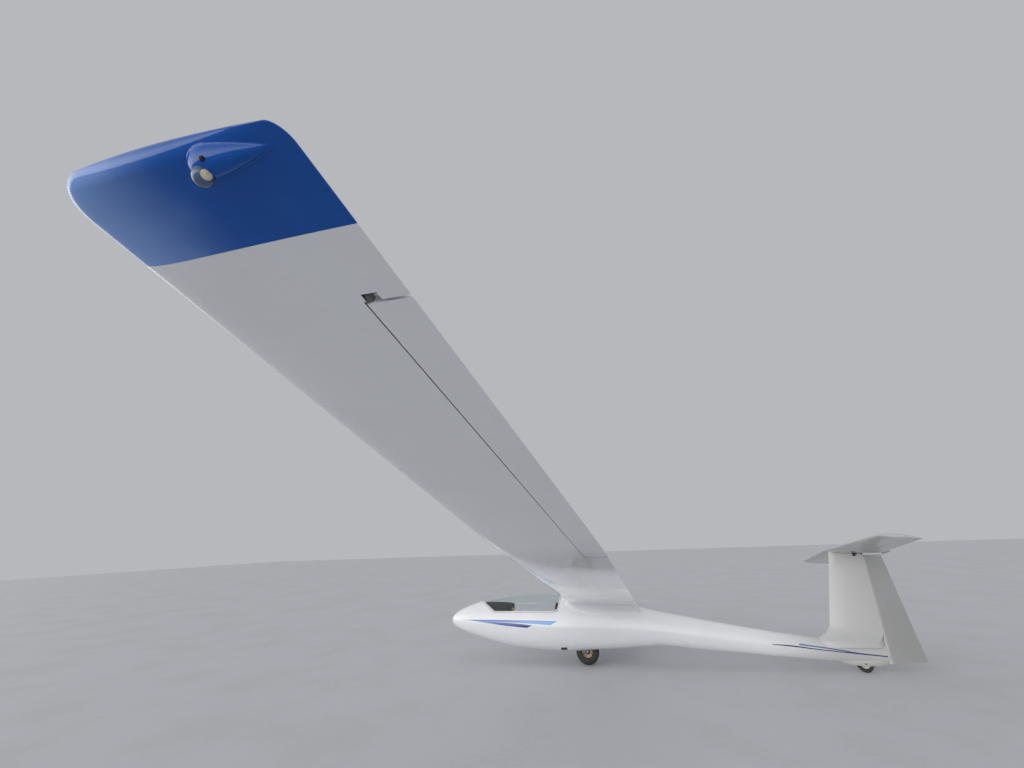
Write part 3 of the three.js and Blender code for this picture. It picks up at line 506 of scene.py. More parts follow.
aileron_hinge = hinge_line(wing_section, AILERON_FROM, AILERON_TO,
                           aileron_pivot(AILERON_FROM), aileron_pivot(AILERON_TO))
print("aileron chord", round(0.2 * wing_section(AILERON_TO)["chord"], 3), "m at its outer end")

# %% [markdown]
# A wing panel is one loft. Where the aileron sits, its rings turn into carrier rings, and a pair of
# rings at the same station makes the flat wall at each end of the hollow. At its outer end the aileron's
# round nose shows in a short pocket that is open below.

# %% Wing panels
BRAKE = {"from": 2.060, "to": 3.140, "fraction": 0.52, "deep": 0.105, "wide": 0.011,
         "cap": 0.020, "cap_deep": 0.034}
POCKET = {"long": 0.022, "radius": 0.024, "back": 0.017, "roof": 0.005, "plug": 0.018, "plug_radius": 0.0115}
AILERON_STATIONS = (4.35, 4.5, 4.8, 5.4, 6.0, 6.6)


def wing_rings():
    rings = []
    for hollow, stations in ((False, (ROOT_Y, 0.8, 1.4, 2.2, 3.0, 3.7, INNER_END)),
                             (True, (INNER_END, *AILERON_STATIONS, OUTER_END)),
                             (False, (OUTER_END, 7.25, BORDER_Y - SEAM))):
        rings += [carrier_ring(aileron_hinge, y, hollow, HINGE_GAP) for y in stations]
    return np.array(rings)


def brake_well(side):
    """Two boxes along the paddle's line: a shallow wide one for its cap and a deep narrow one."""
    inner, outer = (face_point(wing_section(BRAKE[end]), BRAKE["fraction"], 1) for end in ("from", "to"))
    outer[0] = inner[0]
    reach, aft = np.linalg.norm(outer - inner), vec(1, 0, 0)
    along = (outer - inner) / reach
    tools = []
    for half, low, high in ((BRAKE["cap"], -BRAKE["cap_deep"], 0.06), (BRAKE["wide"], -BRAKE["deep"], 0.001)):
        corners = [inner + x * aft + y * along + z * np.cross(aft, along)
                   for x in (-half, half) for y in (-SEAM, reach + SEAM) for z in (low, high)]
        tools.append(solid("well", on_side(side, corners), BOX_FACES))
    return tools


def hinge_rings(rows):
    """Rings about the aileron's hinge line; each row is a station and an outline of (aft, up) pairs."""
    rings = []
    for y, outline in rows:
        centre, section = hinge_at(aileron_hinge, y)[:2]
        rings.append([centre + x * section["along"] + z * section["normal"] for x, z in outline])
    return np.array(rings)


def pocket():
    radius, back = POCKET["radius"], POCKET["back"]
    outline = [(radius * math.cos(a) + back, radius * math.sin(a))
               for a in np.linspace(math.pi, 2 * math.pi, 22)]
    outline += [(side * radius + back, POCKET["roof"]) for side in (1, -1)]
    return hinge_rings([(y, outline) for y in (OUTER_END - 0.004, OUTER_END + POCKET["long"])])


def plug():
    radius, end = POCKET["plug_radius"], AILERON_TO + POCKET["plug"]
    return hinge_rings([(y, [(r * math.cos(a), r * math.sin(a)) for a in circle(32)])
                        for y, r in ((AILERON_TO - 0.002, radius), (end, radius),
                                     (end + 0.003, radius - 0.003))])


wings, ailerons = {}, {}
for side in SIDES:
    hollows = [*brake_well(side), loft("pocket", on_side(side, pocket()))]
    wings[side] = smooth(carve(loft(f"wing_panel_{side}", on_side(side, wing_rings())), hollows), 40)
    rings = [flap_ring(aileron_hinge, straight(y)) for y in (AILERON_FROM, *AILERON_STATIONS, AILERON_TO)]
    ends = [loft("plug", on_side(side, plug()))]
    ailerons[side] = smooth(carve(loft(f"aileron_skin_{side}", on_side(side, rings)), ends, "UNION"), 40)
print("wing panel", len(wings["left"].data.polygons), "faces")

# %% [markdown]
# The blue tip is its own loft, because its corners are rounded: toward the end, each section loses a
# little from its front and back along a quarter of an ellipse, and its thickness closes in a round edge.

# %% Wing tips
TIP_FRONT, TIP_BACK, TIP_ROUND, TIP_CLOSING = (0.080, 0.081), (0.042, 0.028), 0.022, 0.97


def tip_section(y):
    plain, inward = wing_section(y), TIP_Y - y
    front, back = corner_cut(inward, *TIP_FRONT), corner_cut(inward, *TIP_BACK)
    return {**plain, "edge": plain["edge"] + plain["along"] * front, "chord": plain["chord"] - front - back,
            "ratio": plain["ratio"] * closing(inward, TIP_ROUND, TIP_CLOSING)}


tips = {}
for side in SIDES:
    rings = [foil_ring(tip_section(y)) for y in (BORDER_Y, 7.34, 7.37, 7.40, *toward_end(TIP_Y, 0.08, 20))]
    tips[side] = smooth(loft(f"wing_tip_skin_{side}", on_side(side, rings)), 50)
print("tip ends at", TIP_Y, "m")

# %% [markdown]
# Under each tip a long blister carries the rubbing foot. On the real tip it grows out of the skin with
# a soft edge. A grid that follows the skin is pushed down by the blister's form, and a smooth maximum of
# that form and the skin leaves the soft edge.

# %% Tip skids
SKID = {"y": 7.468, "front": 0.608, "back": 0.925, "half": 0.0235, "deep": 0.028, "widest": 0.25,
        "margin": 0.012, "soft": 0.007, "sunk": 0.0006, "fade": 0.0003}
SKID_ROWS, SKID_COLUMNS = 150, 72
FOOT = {"y": 7.463, "fraction": 0.671, "radius": 0.016, "drop": 0.028, "worn": 0.0152}
skid_section = wing_section(SKID["y"])


def tip_underside(x, y):
    section = tip_section(y)
    s = (x - section["edge"][0]) / (section["chord"] * section["along"][0])
    return face_point(section, min(max(s, 0.0), 1.0), -1)


def smooth_max(a, b, reach):
    near = max(reach - abs(a - b), 0.0) / reach
    return max(a, b) + near * near * reach / 4


def skid_drop(t, across, length):
    """How far the blister stands below the skin, t of the way along it and some way off its middle."""
    ahead = 1 - min(1.0, max(t, 0.0) / SKID["widest"])
    behind = min(1.0, max(0.0, (t - SKID["widest"]) / (1 - SKID["widest"])))
    share = math.sqrt(max(0.0, 1 - ahead**2)) * (1 - behind**1.6)
    half, beyond = SKID["half"] * share, max(-t, t - 1, 0.0) * length
    if abs(across) < half and beyond == 0.0:
        form = SKID["deep"] * share * math.sqrt(1 - (across / half) ** 2)
    else:
        form = -1.2 * math.hypot(max(0.0, abs(across) - half), beyond)
    return smooth_max(form, -SKID["sunk"], SKID["soft"]) - SKID["fade"]


def skid_points():
    x_front = face_point(skid_section, SKID["front"], -1)[0]
    length = (SKID["back"] - SKID["front"]) * skid_section["chord"]
    edge = SKID["margin"] / length
    lower, upper = [], []
    for i in range(SKID_ROWS + 1):
        t = mix(-edge, 1 + edge * 0.5, i / SKID_ROWS)
        for j in range(SKID_COLUMNS + 1):
            across = mix(-1, 1, j / SKID_COLUMNS) * (SKID["half"] + 0.008)
            point = tip_underside(x_front + t * length, min(SKID["y"] + across, TIP_Y - 0.0002))
            lower.append(point - vec(0, 0, skid_drop(t, across, length)))
            upper.append(point + vec(0, 0, 0.004))
    return lower + upper


def grid_faces(rows, columns):
    """The faces of two equal grids, one under the other, and of the border between them."""
    wide = columns + 1
    layer, faces = (rows + 1) * wide, []
    for a in (i * wide + j for i in range(rows) for j in range(columns)):
        faces.append((a, a + 1, a + wide + 1, a + wide))
        faces.append((layer + a, layer + a + wide, layer + a + wide + 1, layer + a + 1))
    border = [i * wide for i in range(rows + 1)] + [rows * wide + j for j in range(1, wide)]
    border += [i * wide + columns for i in range(rows - 1, -1, -1)] + list(range(columns - 1, 0, -1))
    return faces + [(a, b, b + layer, a + layer) for a, b in zip(border, border[1:] + border[:1])]


def ball(radius, steps, lowest=-1.0):
    """The profile of a ball, which can be cut flat below some height."""
    return [(max(radius * math.sin(a), TINY), max(-radius * math.cos(a), lowest))
            for a in np.linspace(0, math.pi, steps)]


foot_centre = face_point(wing_section(FOOT["y"]), FOOT["fraction"], -1) - vec(0, 0, FOOT["drop"])
skids, feet = {}, {}
for side in SIDES:
    skids[side] = smooth(solid(f"skid_blister_{side}", on_side(side, skid_points()),
                               grid_faces(SKID_ROWS, SKID_COLUMNS)), 60)
    feet[side] = smooth(turned(f"skid_foot_{side}", ball(FOOT["radius"], 19, -FOOT["worn"]),
                               on_side(side, foot_centre), "z", 48), 40)
print("foot hangs to", round(foot_centre[2] - FOOT["radius"], 3))

# %% [markdown]
# The tail: a fin with a rudder behind it, and a tailplane with an elevator in two halves on top of it.
# They use the same rings as the wing. The elevator's inner ends are slanted to let the rudder swing.

# %% Tail sections
FIN = {"low": (0.250, 5.586, 6.686), "high": (1.500, 5.975, 6.638), "ratio": 0.105}  # height, front, back
RUDDER_LOW, RUDDER_HIGH = 0.080, 1.456
TAIL = {"half": 1.377, "height": 1.542, "middle": (5.936, 0.646), "end": (6.054, 0.450), "ratio": 0.115,
        "corner": (0.060, 0.042), "round": (0.014, 0.9)}
TAIL_ANGLE, ELEVATOR_X, ELEVATOR_DROOP = math.radians(5.5), 6.352, math.radians(6)
FIN_FOOT = {"top": 0.600, "reach": 0.260, "height": 0.240}
FIN_JOINT = 0.0018  # the open joint under the tailplane


def fin_section(z):
    t = (z - FIN["low"][0]) / (FIN["high"][0] - FIN["low"][0])
    edge, back = (mix(FIN["low"][i], FIN["high"][i], t) for i in (1, 2))
    return {**lifting(vec(edge, 0, z), back - edge, FIN["ratio"]), "normal": vec(0, 1, 0)}


def fin_foot(z):
    """The fin's foot sweeps forward and widens into the boom."""
    section = fin_section(z)
    share = min(1.0, max(0.0, (FIN_FOOT["top"] - z) / FIN_FOOT["height"])) ** 3.3
    chord = section["chord"] + FIN_FOOT["reach"] * share
    return {**section, "edge": section["edge"] - vec(FIN_FOOT["reach"] * share, 0, 0), "chord": chord,
            "ratio": section["ratio"] * (1 + 0.5 * share) * section["chord"] / chord}


def tail_line(x):
    return TAIL["height"] - (x - TAIL["middle"][0]) * math.tan(TAIL_ANGLE)


def tail_section(y):
    edge, chord = (mix(TAIL["middle"][i], TAIL["end"][i], abs(y) / TAIL["half"]) for i in (0, 1))
    return lifting(vec(edge, y, tail_line(edge)), chord, TAIL["ratio"], TAIL_ANGLE)


def tail_tip(y):
    section, inward = tail_section(y), TAIL["half"] - abs(y)
    cut = corner_cut(inward, *TAIL["corner"])
    return {**section, "edge": section["edge"] + section["along"] * cut, "chord": section["chord"] - cut,
            "ratio": section["ratio"] * closing(inward, *TAIL["round"])}


rudder_hinge = hinge_line(fin_section, RUDDER_LOW, RUDDER_HIGH,
                          vec(6.264, 0, RUDDER_LOW), vec(6.413, 0, RUDDER_HIGH))
elevator_pivot = vec(ELEVATOR_X, 0, tail_line(ELEVATOR_X))
elevator_hinge = hinge_line(tail_section, 0.0, TAIL["half"],
                            elevator_pivot, elevator_pivot + vec(0, TAIL["half"], 0))
print("tailplane area", round(TAIL["half"] * (TAIL["middle"][1] + TAIL["end"][1]), 2), "m2")

# %% Fin and rudder


def tail_under(x):
    """The height of the tailplane's lower face in the middle."""
    s = min(max((x - TAIL["middle"][0]) / TAIL["middle"][1], 0.0), 1.0)
    return float(face_point(tail_section(0.0), s, -1)[2])


def rudder_foot(point):
    """The rudder's lower edge rises toward its trailing edge."""
    return 0.1035 if point is None else 0.092 + 0.0686 * (point[0] - 6.1)


fin_rings = [carrier_ring(rudder_hinge, z, shape=fin_foot) for z in np.linspace(0.28, 0.62, 18)]
fin_rings += [carrier_ring(rudder_hinge, z) for z in (0.8, 1.0, 1.2, 1.4)]
top_ring = np.array(carrier_ring(rudder_hinge, FIN["high"][0]))
top_ring[:, 2] = [tail_under(x) - FIN_JOINT for x in top_ring[:, 0]]
fin_skin = smooth(loft("fin_skin", [*fin_rings, top_ring]), 40)
rudder_stations = [rudder_foot, *map(straight, (0.3, 0.6, 0.9, 1.2, RUDDER_HIGH))]
rudder_skin = smooth(loft("rudder_skin", [flap_ring(rudder_hinge, station)
                                          for station in rudder_stations]), 40)
print("fin", len(fin_skin.data.polygons), "faces, rudder", len(rudder_skin.data.polygons))

# %% Tailplane and elevator
NOTCH_HALF, NOTCH_SPREAD = 0.072, 0.6
TAB = {"from": 0.170, "to": 0.430, "chord": 0.030, "half": 0.0012, "bend": math.radians(25)}


def tail_ring(y):
    ring = np.array(carrier_ring(elevator_hinge, abs(y), shape=tail_tip))
    return ring if y > 0 else mirrored(ring)


def inner_end(point):
    return NOTCH_HALF if point is None else NOTCH_HALF + NOTCH_SPREAD * max(0.0, point[0] - ELEVATOR_X)


def drooped(points):
    """Turned about the elevator's hinge by the droop that it is stored with."""
    c, s = math.cos(ELEVATOR_DROOP), math.sin(ELEVATOR_DROOP)
    x, y, z = np.moveaxis(np.asarray(points) - elevator_pivot, -1, 0)
    return np.stack([x * c + z * s, y, -x * s + z * c], axis=-1) + elevator_pivot


def rounded_flap(y):
    """An elevator section near its outer end, made thinner about its own middle."""
    ring = np.array(flap_ring(elevator_hinge, straight(y)))
    middle = (ring + ring[[0, *range(len(ring) - 1, 0, -1)]]) / 2
    return middle + (ring - middle) * closing(TAIL["half"] - y, *TAIL["round"])


def tab_rings():
    angle = TAIL_ANGLE + TAB["bend"] + ELEVATOR_DROOP
    along, off = (vec(math.cos(angle), 0, -math.sin(angle)),
                  TAB["half"] * vec(math.sin(angle), 0, math.cos(angle)))
    rings = []
    for section in (tail_section(TAB[end]) for end in ("from", "to")):
        end = drooped(section["edge"] + section["along"] * section["chord"])
        corners = [(TAB["chord"], 1), (-0.006, 1), (-0.006, -1), (TAB["chord"], -1)]
        rings.append([end + x * along + side * off for x, side in corners])
    return np.array(rings)


half_span = [*toward_end(TAIL["half"], 0.06, 14)[::-1], 1.2, 0.8, 0.4, 0.0]
span_stations = [-y for y in half_span] + half_span[::-1][1:]
tailplane_skin = smooth(loft("tailplane_skin", [tail_ring(y) for y in span_stations]), 50)
flap_rings = [flap_ring(elevator_hinge, station)
              for station in (inner_end, *map(straight, (0.45, 0.8, 1.1, 1.32)))]
flap_rings += [rounded_flap(y) for y in (1.345, 1.36, 1.37, TAIL["half"])]
half_right = drooped(np.array(flap_rings))
tube_between = turned("torque_tube", rod(0.0112, 0.08), elevator_pivot)
elevator_skin = carve(loft("elevator_skin", half_right), [
    loft("half_left", mirrored(half_right)), tube_between,
    loft("tab_right", tab_rings()), loft("tab_left", mirrored(tab_rings()))], "UNION")
smooth(elevator_skin, 40)
print("tail ready")

# %% [markdown]
# The fuselage pieces are cut from one skin. The front shell is hollow and open under the canopy, the
# centre section carries the wing roots and the wheel's well, and the boom has a bulge for the tail wheel.

# %% Fuselage pieces
FRONT_END, CENTRE_END, BODY_END, WALL, HOLLOW_END = 1.965, 3.150, 6.290, 0.024, 1.936
CANOPY = {"foot": 0.812, "sill": 0.708, "high": 1.100, "lean": 1.5, "rear": 1.860,
          "slope": 0.2, "corner": 0.070}


def canopy_outline(inset):
    sill = CANOPY["sill"] + inset

    def front(z):
        return CANOPY["foot"] + (CANOPY["sill"] - z) * CANOPY["lean"] + inset * math.hypot(1, CANOPY["lean"])

    def rear(z):
        return CANOPY["rear"] + (z - CANOPY["sill"]) * CANOPY["slope"] - inset * math.hypot(
            1, CANOPY["slope"])
    start, bend = np.array((rear(sill) - CANOPY["corner"], sill)), np.array((rear(sill), sill))
    end = np.array((rear(sill + CANOPY["corner"]), sill + CANOPY["corner"]))
    curve = [(1 - t) ** 2 * start + 2 * t * (1 - t) * bend + t**2 * end for t in np.linspace(0, 1, 13)]
    high = CANOPY["high"]
    return [(front(high), high), (front(sill), sill), *map(tuple, curve), (rear(high), high)]


def canopy_prism(inset):
    return prism("opening", canopy_outline(inset), -0.4, 0.4)


SIDE_SLOT = ((1.868, 1.961), (-0.188, -0.134), (0.15, 0.252))  # low on the left, ahead of the wheel
HINGE_Y, HINGE_Z, KNUCKLES = skin_half(1.390, 0.712) + 0.011, 0.712, (1.130, 1.610)


def knuckle(x, half, low, high):
    """A barrel on the hinge line and the leaf that ties it to the skin."""
    barrel = [(0.008, -half + 0.001), (0.008, half - 0.001), (0.007, half), (TINY, half),
              (TINY, -half), (0.007, -half)]
    return [turned("barrel", barrel, (x, HINGE_Y, HINGE_Z), "x", 32),
            block("leaf", x - half, x + half, HINGE_Y - 0.030, HINGE_Y, HINGE_Z + low, HINGE_Z + high)]


front_shell = carve(body("front_shell", 0, FRONT_END), [canopy_prism(-GAP)])
carve(front_shell, [piece for x in KNUCKLES for piece in knuckle(x, 0.022, -0.012, -0.004)], "UNION")
carve(front_shell, [body("hollow", 0.300, HOLLOW_END, WALL),
                    block("slot", 1.846, 1.944, -0.022, 0.022, 0, 0.25),
                    block("side_slot", *SIDE_SLOT[0], *SIDE_SLOT[1], *SIDE_SLOT[2])])
smooth(front_shell, 35)

# %% [markdown]
# The wing roots flow into the body in a hollow round. Each point of the wing's lower face runs inward
# on a smooth curve that leaves the wing flat and arrives on the body's side going down. On top, a smooth
# maximum of the wing's height and the body's height makes the same kind of blend.

# %% Wing roots
ROOT_STEPS, ROOT_SOFT = 26, 0.05


def skin_line(x):
    """The height on the body's side where the root's round ends."""
    return 0.672 + 0.164 * math.exp(-max(x - 1.975, 0.0) / 0.13)


def root_lower(s, t):
    section = wing_section(ROOT_Y - SEAM)
    start = face_point(section, s, -1) if s > 0 else section["edge"]
    x = start[0] - 0.028 * (1 - s) ** 4
    z = skin_line(x)
    end = vec(x, skin_half(x, z) - 0.0005, z)
    slope = (skin_half(x, z - 0.01) - skin_half(x, z + 0.01)) / -0.02
    across, drop = start[1] - end[1], abs(start[2] - end[2])
    leave = vec(0, -1, -math.tan(DIHEDRAL)) * 1.5 * across
    arrive = vec(0, -slope, -1) * 1.5 * max(drop, 0.03)
    return glide(start, end, leave, arrive, t)


def root_upper(s, k):
    y = mix(ROOT_Y - SEAM, -0.004, k)
    section = wing_section(max(y, 0.0))
    point = face_point(section, s, 1)
    x = float(point[0])
    skin = float(roof_height(x, y)) - 0.001 if abs(y) < body_half(x) else 0.0
    return vec(x, y, smooth_max(skin, float(point[2]), ROOT_SOFT))


def root_ring(k):
    nose = root_lower(0.0, k)
    lower = [root_lower(s, k) for s in BACK_TO_NOSE][::-1]
    upper = []
    for s in BACK_TO_NOSE:
        near = min(1.0, s / 0.05)
        upper.append(mix(nose, root_upper(s, k), near * near * (3 - 2 * near)))
    return [(upper[0] + lower[-1]) / 2, *upper, nose, *lower]


root_rings = np.array([root_ring(k / ROOT_STEPS) for k in range(ROOT_STEPS + 1)])
well = block("well", MAIN_WHEEL.x - 0.2, MAIN_WHEEL.x + 0.2, -0.078, 0.078, 0, 0.4)
centre_section = carve(body("centre_section", FRONT_END + SEAM, CENTRE_END), [
    loft("root_right", root_rings), loft("root_left", mirrored(root_rings))], "UNION")
carve(centre_section, [well, block("ahead", 1.0, FRONT_END + SEAM, -0.6, 0.6, 0, 1.5)])
smooth(centre_section, 35)

# %% Tail boom
FAIRING = np.array([
    # x, bottom, half width
    [5590, 150, 18], [5680, 102, 34], [5790, 72, 43], [5900, 55, 47], [6010, 53, 46], [6120, 66, 40],
    [6215, 86, 28]]) / 1000
FAIRING_TOP = 0.190
FAIRING_SIDES = 40


def fairing_at(x):
    """Half width and middle height."""
    bottom, half = (float(np.interp(x, FAIRING[:, 0], FAIRING[:, column])) for column in (1, 2))
    return half, (FAIRING_TOP + bottom) / 2


def fairing_ring(x):
    half, middle = fairing_at(x)
    angles = circle(FAIRING_SIDES, -math.pi / 2)
    heights = middle + (FAIRING_TOP - middle) * np.sin(angles)
    return np.stack([np.full(FAIRING_SIDES, x), half * np.cos(angles), heights], axis=1)


def cove_rings(hinge, gap, low, high):
    """The round hollow that the rudder's nose takes from the end of the boom."""
    rings = []
    for t in (low, high):
        centre, section, _, radius = hinge_at(hinge, t)
        reach = radius + gap
        arc = arc_about(centre, section, reach, np.linspace(math.pi / 2, 3 * math.pi / 2, 25))
        rings.append([centre + vec(0.3, 0, 0), centre + vec(0.3, reach, 0), *arc,
                      centre + vec(0.3, -reach, 0)])
    return np.array(rings)


tail_axle = upright(joints["tail_wheel_spin"]["pos_m"])
fairing = loft("fairing", [fairing_ring(x) for x in np.linspace(5.59, 6.215, 40)])
tail_well = turned("tail_well", rod(0.112, 0.031), tail_axle)
boom = carve(body("boom", CENTRE_END + SEAM, BODY_END), [fairing], "UNION")
carve(boom, [tail_well, loft("cove", cove_rings(rudder_hinge, 0.004, 0.04, 0.6))])
smooth(boom, 35)

# %% Canopy
FRAME_WIDTH, FRAME_WALL, GLASS_WALL = 0.013, 0.016, 0.006


def cockpit_shell(name, wall, outer, inner=None, extra=()):
    """The skin over the cockpit, of some wall, inside one outline and outside another."""
    made = body(name, 0.43, 1.94, 0, 0.0125)
    carve(made, [canopy_prism(outer)], "INTERSECT")
    if inner is not None:
        carve(made, [canopy_prism(inner)])
    if extra:
        carve(made, list(extra), "UNION")
    return smooth(carve(made, [body("inner", 0.40, 1.97, wall, 0.0125)]), 35)


moving = [piece for x in KNUCKLES for beside in (-0.035, 0.035)
          for piece in knuckle(x + beside, 0.0125, 0.003, 0.009)]
canopy_rim = cockpit_shell("canopy_rim", FRAME_WALL, 0, FRAME_WIDTH, moving)
canopy_bubble = cockpit_shell("canopy_bubble", GLASS_WALL, FRAME_WIDTH + SEAM)

# The rail of the sliding window, a thin strip on the left side of the clear shell
RAIL = {"from": 1.173, "to": 1.524, "z": 0.829, "tall": 0.005, "proud": 0.0022}
rail_rings = []
for x in np.linspace(RAIL["from"], RAIL["to"], 40):
    corners = [(RAIL["z"] + side * RAIL["tall"] / 2, out)
               for out, side in ((RAIL["proud"], -1), (RAIL["proud"], 1), (-0.001, 1), (-0.001, -1))]
    rail_rings.append([vec(x, -skin_half(x, z) - out, z) for z, out in corners])
window_rail = smooth(loft("window_rail", rail_rings), 40)
print("canopy", len(canopy_bubble.data.polygons), "faces")

# %% [markdown]
# Wheels are lathed. A tyre's section is a circle from bead to bead, with shallow grooves round its
# crown and thin moulded rings on its walls. The cast rim has six holes through its web.

# %% Wheels
WHEELS = {
    "main": {"x": MAIN_WHEEL.x, "z": MAIN_WHEEL.z, "radius": 0.175, "tube": 0.062,
             "rim": 0.078, "axle": 0.0125,
             "boss": 0.046, "web": 0.014, "grooves": (-26, -13, 0, 14, 26), "depth": 0.0022},
    "tail": {"x": TAIL_WHEEL_X, "z": float(tail_axle[2]), "radius": 0.100, "tube": 0.024, "rim": 0.056,
             "axle": 0.006, "boss": 0.020, "web": 0.007, "grooves": (-16, 20), "depth": 0.001}}
BEAD_SHARE, WALL_ANGLE, GROOVE_HALF = 0.62, 118, 1.6
WALL_RINGS, RING_HEIGHT, HOLE_RING = (78, 101), 0.0006, 0.045


def tyre(name, wheel):
    crown, bead = wheel["radius"] - wheel["tube"], BEAD_SHARE * wheel["tube"]
    profile = [(wheel["rim"] + SEAM, -bead)]
    for degrees in np.linspace(-WALL_ANGLE, WALL_ANGLE, 178):
        near = min(abs(degrees - groove) for groove in wheel["grooves"])
        cut = wheel["depth"] * min(1.0, max(0.0, (GROOVE_HALF * 1.5 - near) / GROOVE_HALF))
        rise = RING_HEIGHT if min(abs(abs(degrees) - ring) for ring in WALL_RINGS) < 1.4 else 0
        reach, angle = wheel["tube"] - cut + rise, math.radians(degrees)
        profile.append((crown + reach * math.cos(angle), reach * math.sin(angle)))
    profile.append((wheel["rim"] + SEAM, bead))
    return smooth(turned(name, profile, (wheel["x"], 0, wheel["z"]), "y", 120), 30)


def rim(name, wheel, holes=0):
    bead, bore, sleeve = BEAD_SHARE * wheel["tube"], wheel["axle"] + SEAM, wheel["axle"] + 0.012
    radius, boss, web = wheel["rim"], wheel["boss"], wheel["web"]
    half = [(bore, boss), (sleeve - 0.001, boss), (sleeve, boss - 0.001), (sleeve, web + 0.004),
            (sleeve + 0.004, web), (radius - 0.018, web), (radius - 0.014, web + 0.003),
            (radius - 0.011, bead - 0.001), (radius - 0.010, bead), (radius, bead)]
    profile = [(r, -y) for r, y in half] + half[::-1]
    made = turned(name, profile, (wheel["x"], 0, wheel["z"]), "y", 96)
    if holes:
        places = [(wheel["x"] + HOLE_RING * math.cos(a), 0, wheel["z"] + HOLE_RING * math.sin(a))
                  for a in circle(holes)]
        carve(made, [turned("hole", rod(0.013, 0.06), place, "y", 40) for place in places])
    return softened(made, 0.0008, 2, 50, 40)


main_tyre, main_rim = tyre("main_tyre_treaded", WHEELS["main"]), rim("main_rim_cast", WHEELS["main"], 6)
tail_tyre, tail_hub = tyre("tail_tyre_solid", WHEELS["tail"]), rim("tail_hub_moulded", WHEELS["tail"])
print("main tyre", len(main_tyre.data.polygons), "faces")

# %% [markdown]
# The cockpit shows through the canopy. A tube swept along a path makes the stick, a row of rounded
# sections makes the hood of the instrument pod, and the dials are lathed with their faces unwrapped in
# polar form, so that a material can draw their scales.

# %% Cockpit helpers


def tangent_at(path, i):
    return unit(path[min(i + 1, len(path) - 1)] - path[max(i - 1, 0)])


def tube(name, path, radii, sides=28):
    path = np.array(path, float)
    rings = []
    for i, point in enumerate(path):
        tangent = tangent_at(path, i)
        side = unit(np.cross(tangent, vec(0, 1, 0) if abs(tangent[1]) < 0.9 else vec(1, 0, 0)))
        other = np.cross(tangent, side)
        rings.append([point + radii[i] * (math.cos(a) * side + math.sin(a) * other) for a in circle(sides)])
    return smooth(loft(name, rings), 40)


def bend(points, steps=24):
    """A smooth line through three points, with its share from 0 to 1."""
    a, b, c = (np.array(p, float) for p in points)
    control = 2 * b - (a + c) / 2
    shares = np.linspace(0, 1, steps)
    return [(1 - t) ** 2 * a + 2 * t * (1 - t) * control + t**2 * c for t in shares], shares


# %% Stick, knob and pod
shaft_path, shaft_share = bend([(1.180, 0, 0.3465), (1.172, 0, 0.490), (1.150, 0, 0.600)])
stick_shaft = tube("stick_shaft", shaft_path, [0.0095] * len(shaft_share))
grip_path, grip_share = bend([(1.1515, 0, 0.590), (1.145, 0, 0.640), (1.132, 0, 0.700)], 60)
grip_radii = [0.0145 + 0.0016 * math.sin(t * 26) - 0.003 * (1 - t) for t in grip_share]
for end, scale in ((0, 0.75), (1, 0.92), (-1, 0.3), (-2, 0.72), (-3, 0.9)):
    grip_radii[end] *= scale
stick_grip = tube("stick_grip", grip_path, grip_radii)

KNOB = {"y": -0.120, "z": 0.758, "x": 1.088, "radius": 0.015, "rod": 0.004, "from": 1.0506}
knob_profile = [(TINY, KNOB["from"]), (KNOB["rod"], KNOB["from"])]
knob_profile += [(KNOB["rod"], KNOB["x"] - 0.0145),
                 (0.0085, KNOB["x"] - 0.0140), (0.0095, KNOB["x"] - 0.0120)]
knob_profile += [(max(TINY, KNOB["radius"] * math.sin(a)), KNOB["x"] - KNOB["radius"] * math.cos(a))
                 for a in np.linspace(0.72, math.pi, 22)]
knob = smooth(turned("release_knob_turned", knob_profile, (0, KNOB["y"], KNOB["z"]), "x", 40), 40)

POD = np.array([
    # x, underside, top, half width
    [0.622, 0.846, 0.860, 0.105], [0.650, 0.812, 0.864, 0.132], [0.695, 0.756, 0.865, 0.147],
    [0.745, 0.690, 0.865, 0.150], [0.790, 0.612, 0.864, 0.150], [0.850, 0.588, 0.862, 0.150],
    [0.930, 0.655, 0.860, 0.150], [1.000, 0.714, 0.855, 0.150], [1.040, 0.738, 0.851, 0.150],
    [1.046, 0.741, 0.849, 0.147]])
POD_POWER, POD_SIDES, UNDER_CANOPY = 5.5, 72, 0.027


def pod_ring(x):
    low, high, half = (np.interp(x, POD[:, 0], POD[:, column]) for column in (1, 2, 3))
    across, rise = squarish_ring(POD_SIDES, POD_POWER)
    heights = np.minimum((low + high) / 2 + rise * (high - low) / 2,
                         roof_height(x, half * across, UNDER_CANOPY))
    return np.stack([np.full(POD_SIDES, x), half * across, heights], axis=1)


pod_hood = loft("pod_hood", [pod_ring(x) for x in sorted({*np.linspace(0.622, 1.04, 40), 1.043, 1.046})])
pod_foot = softened(block("pod_foot", 0.800, 0.850, -0.045, 0.045, 0.280, 0.640), 0.010)
pod_hood = smooth(carve(pod_hood, [pod_foot], "UNION"), 40)

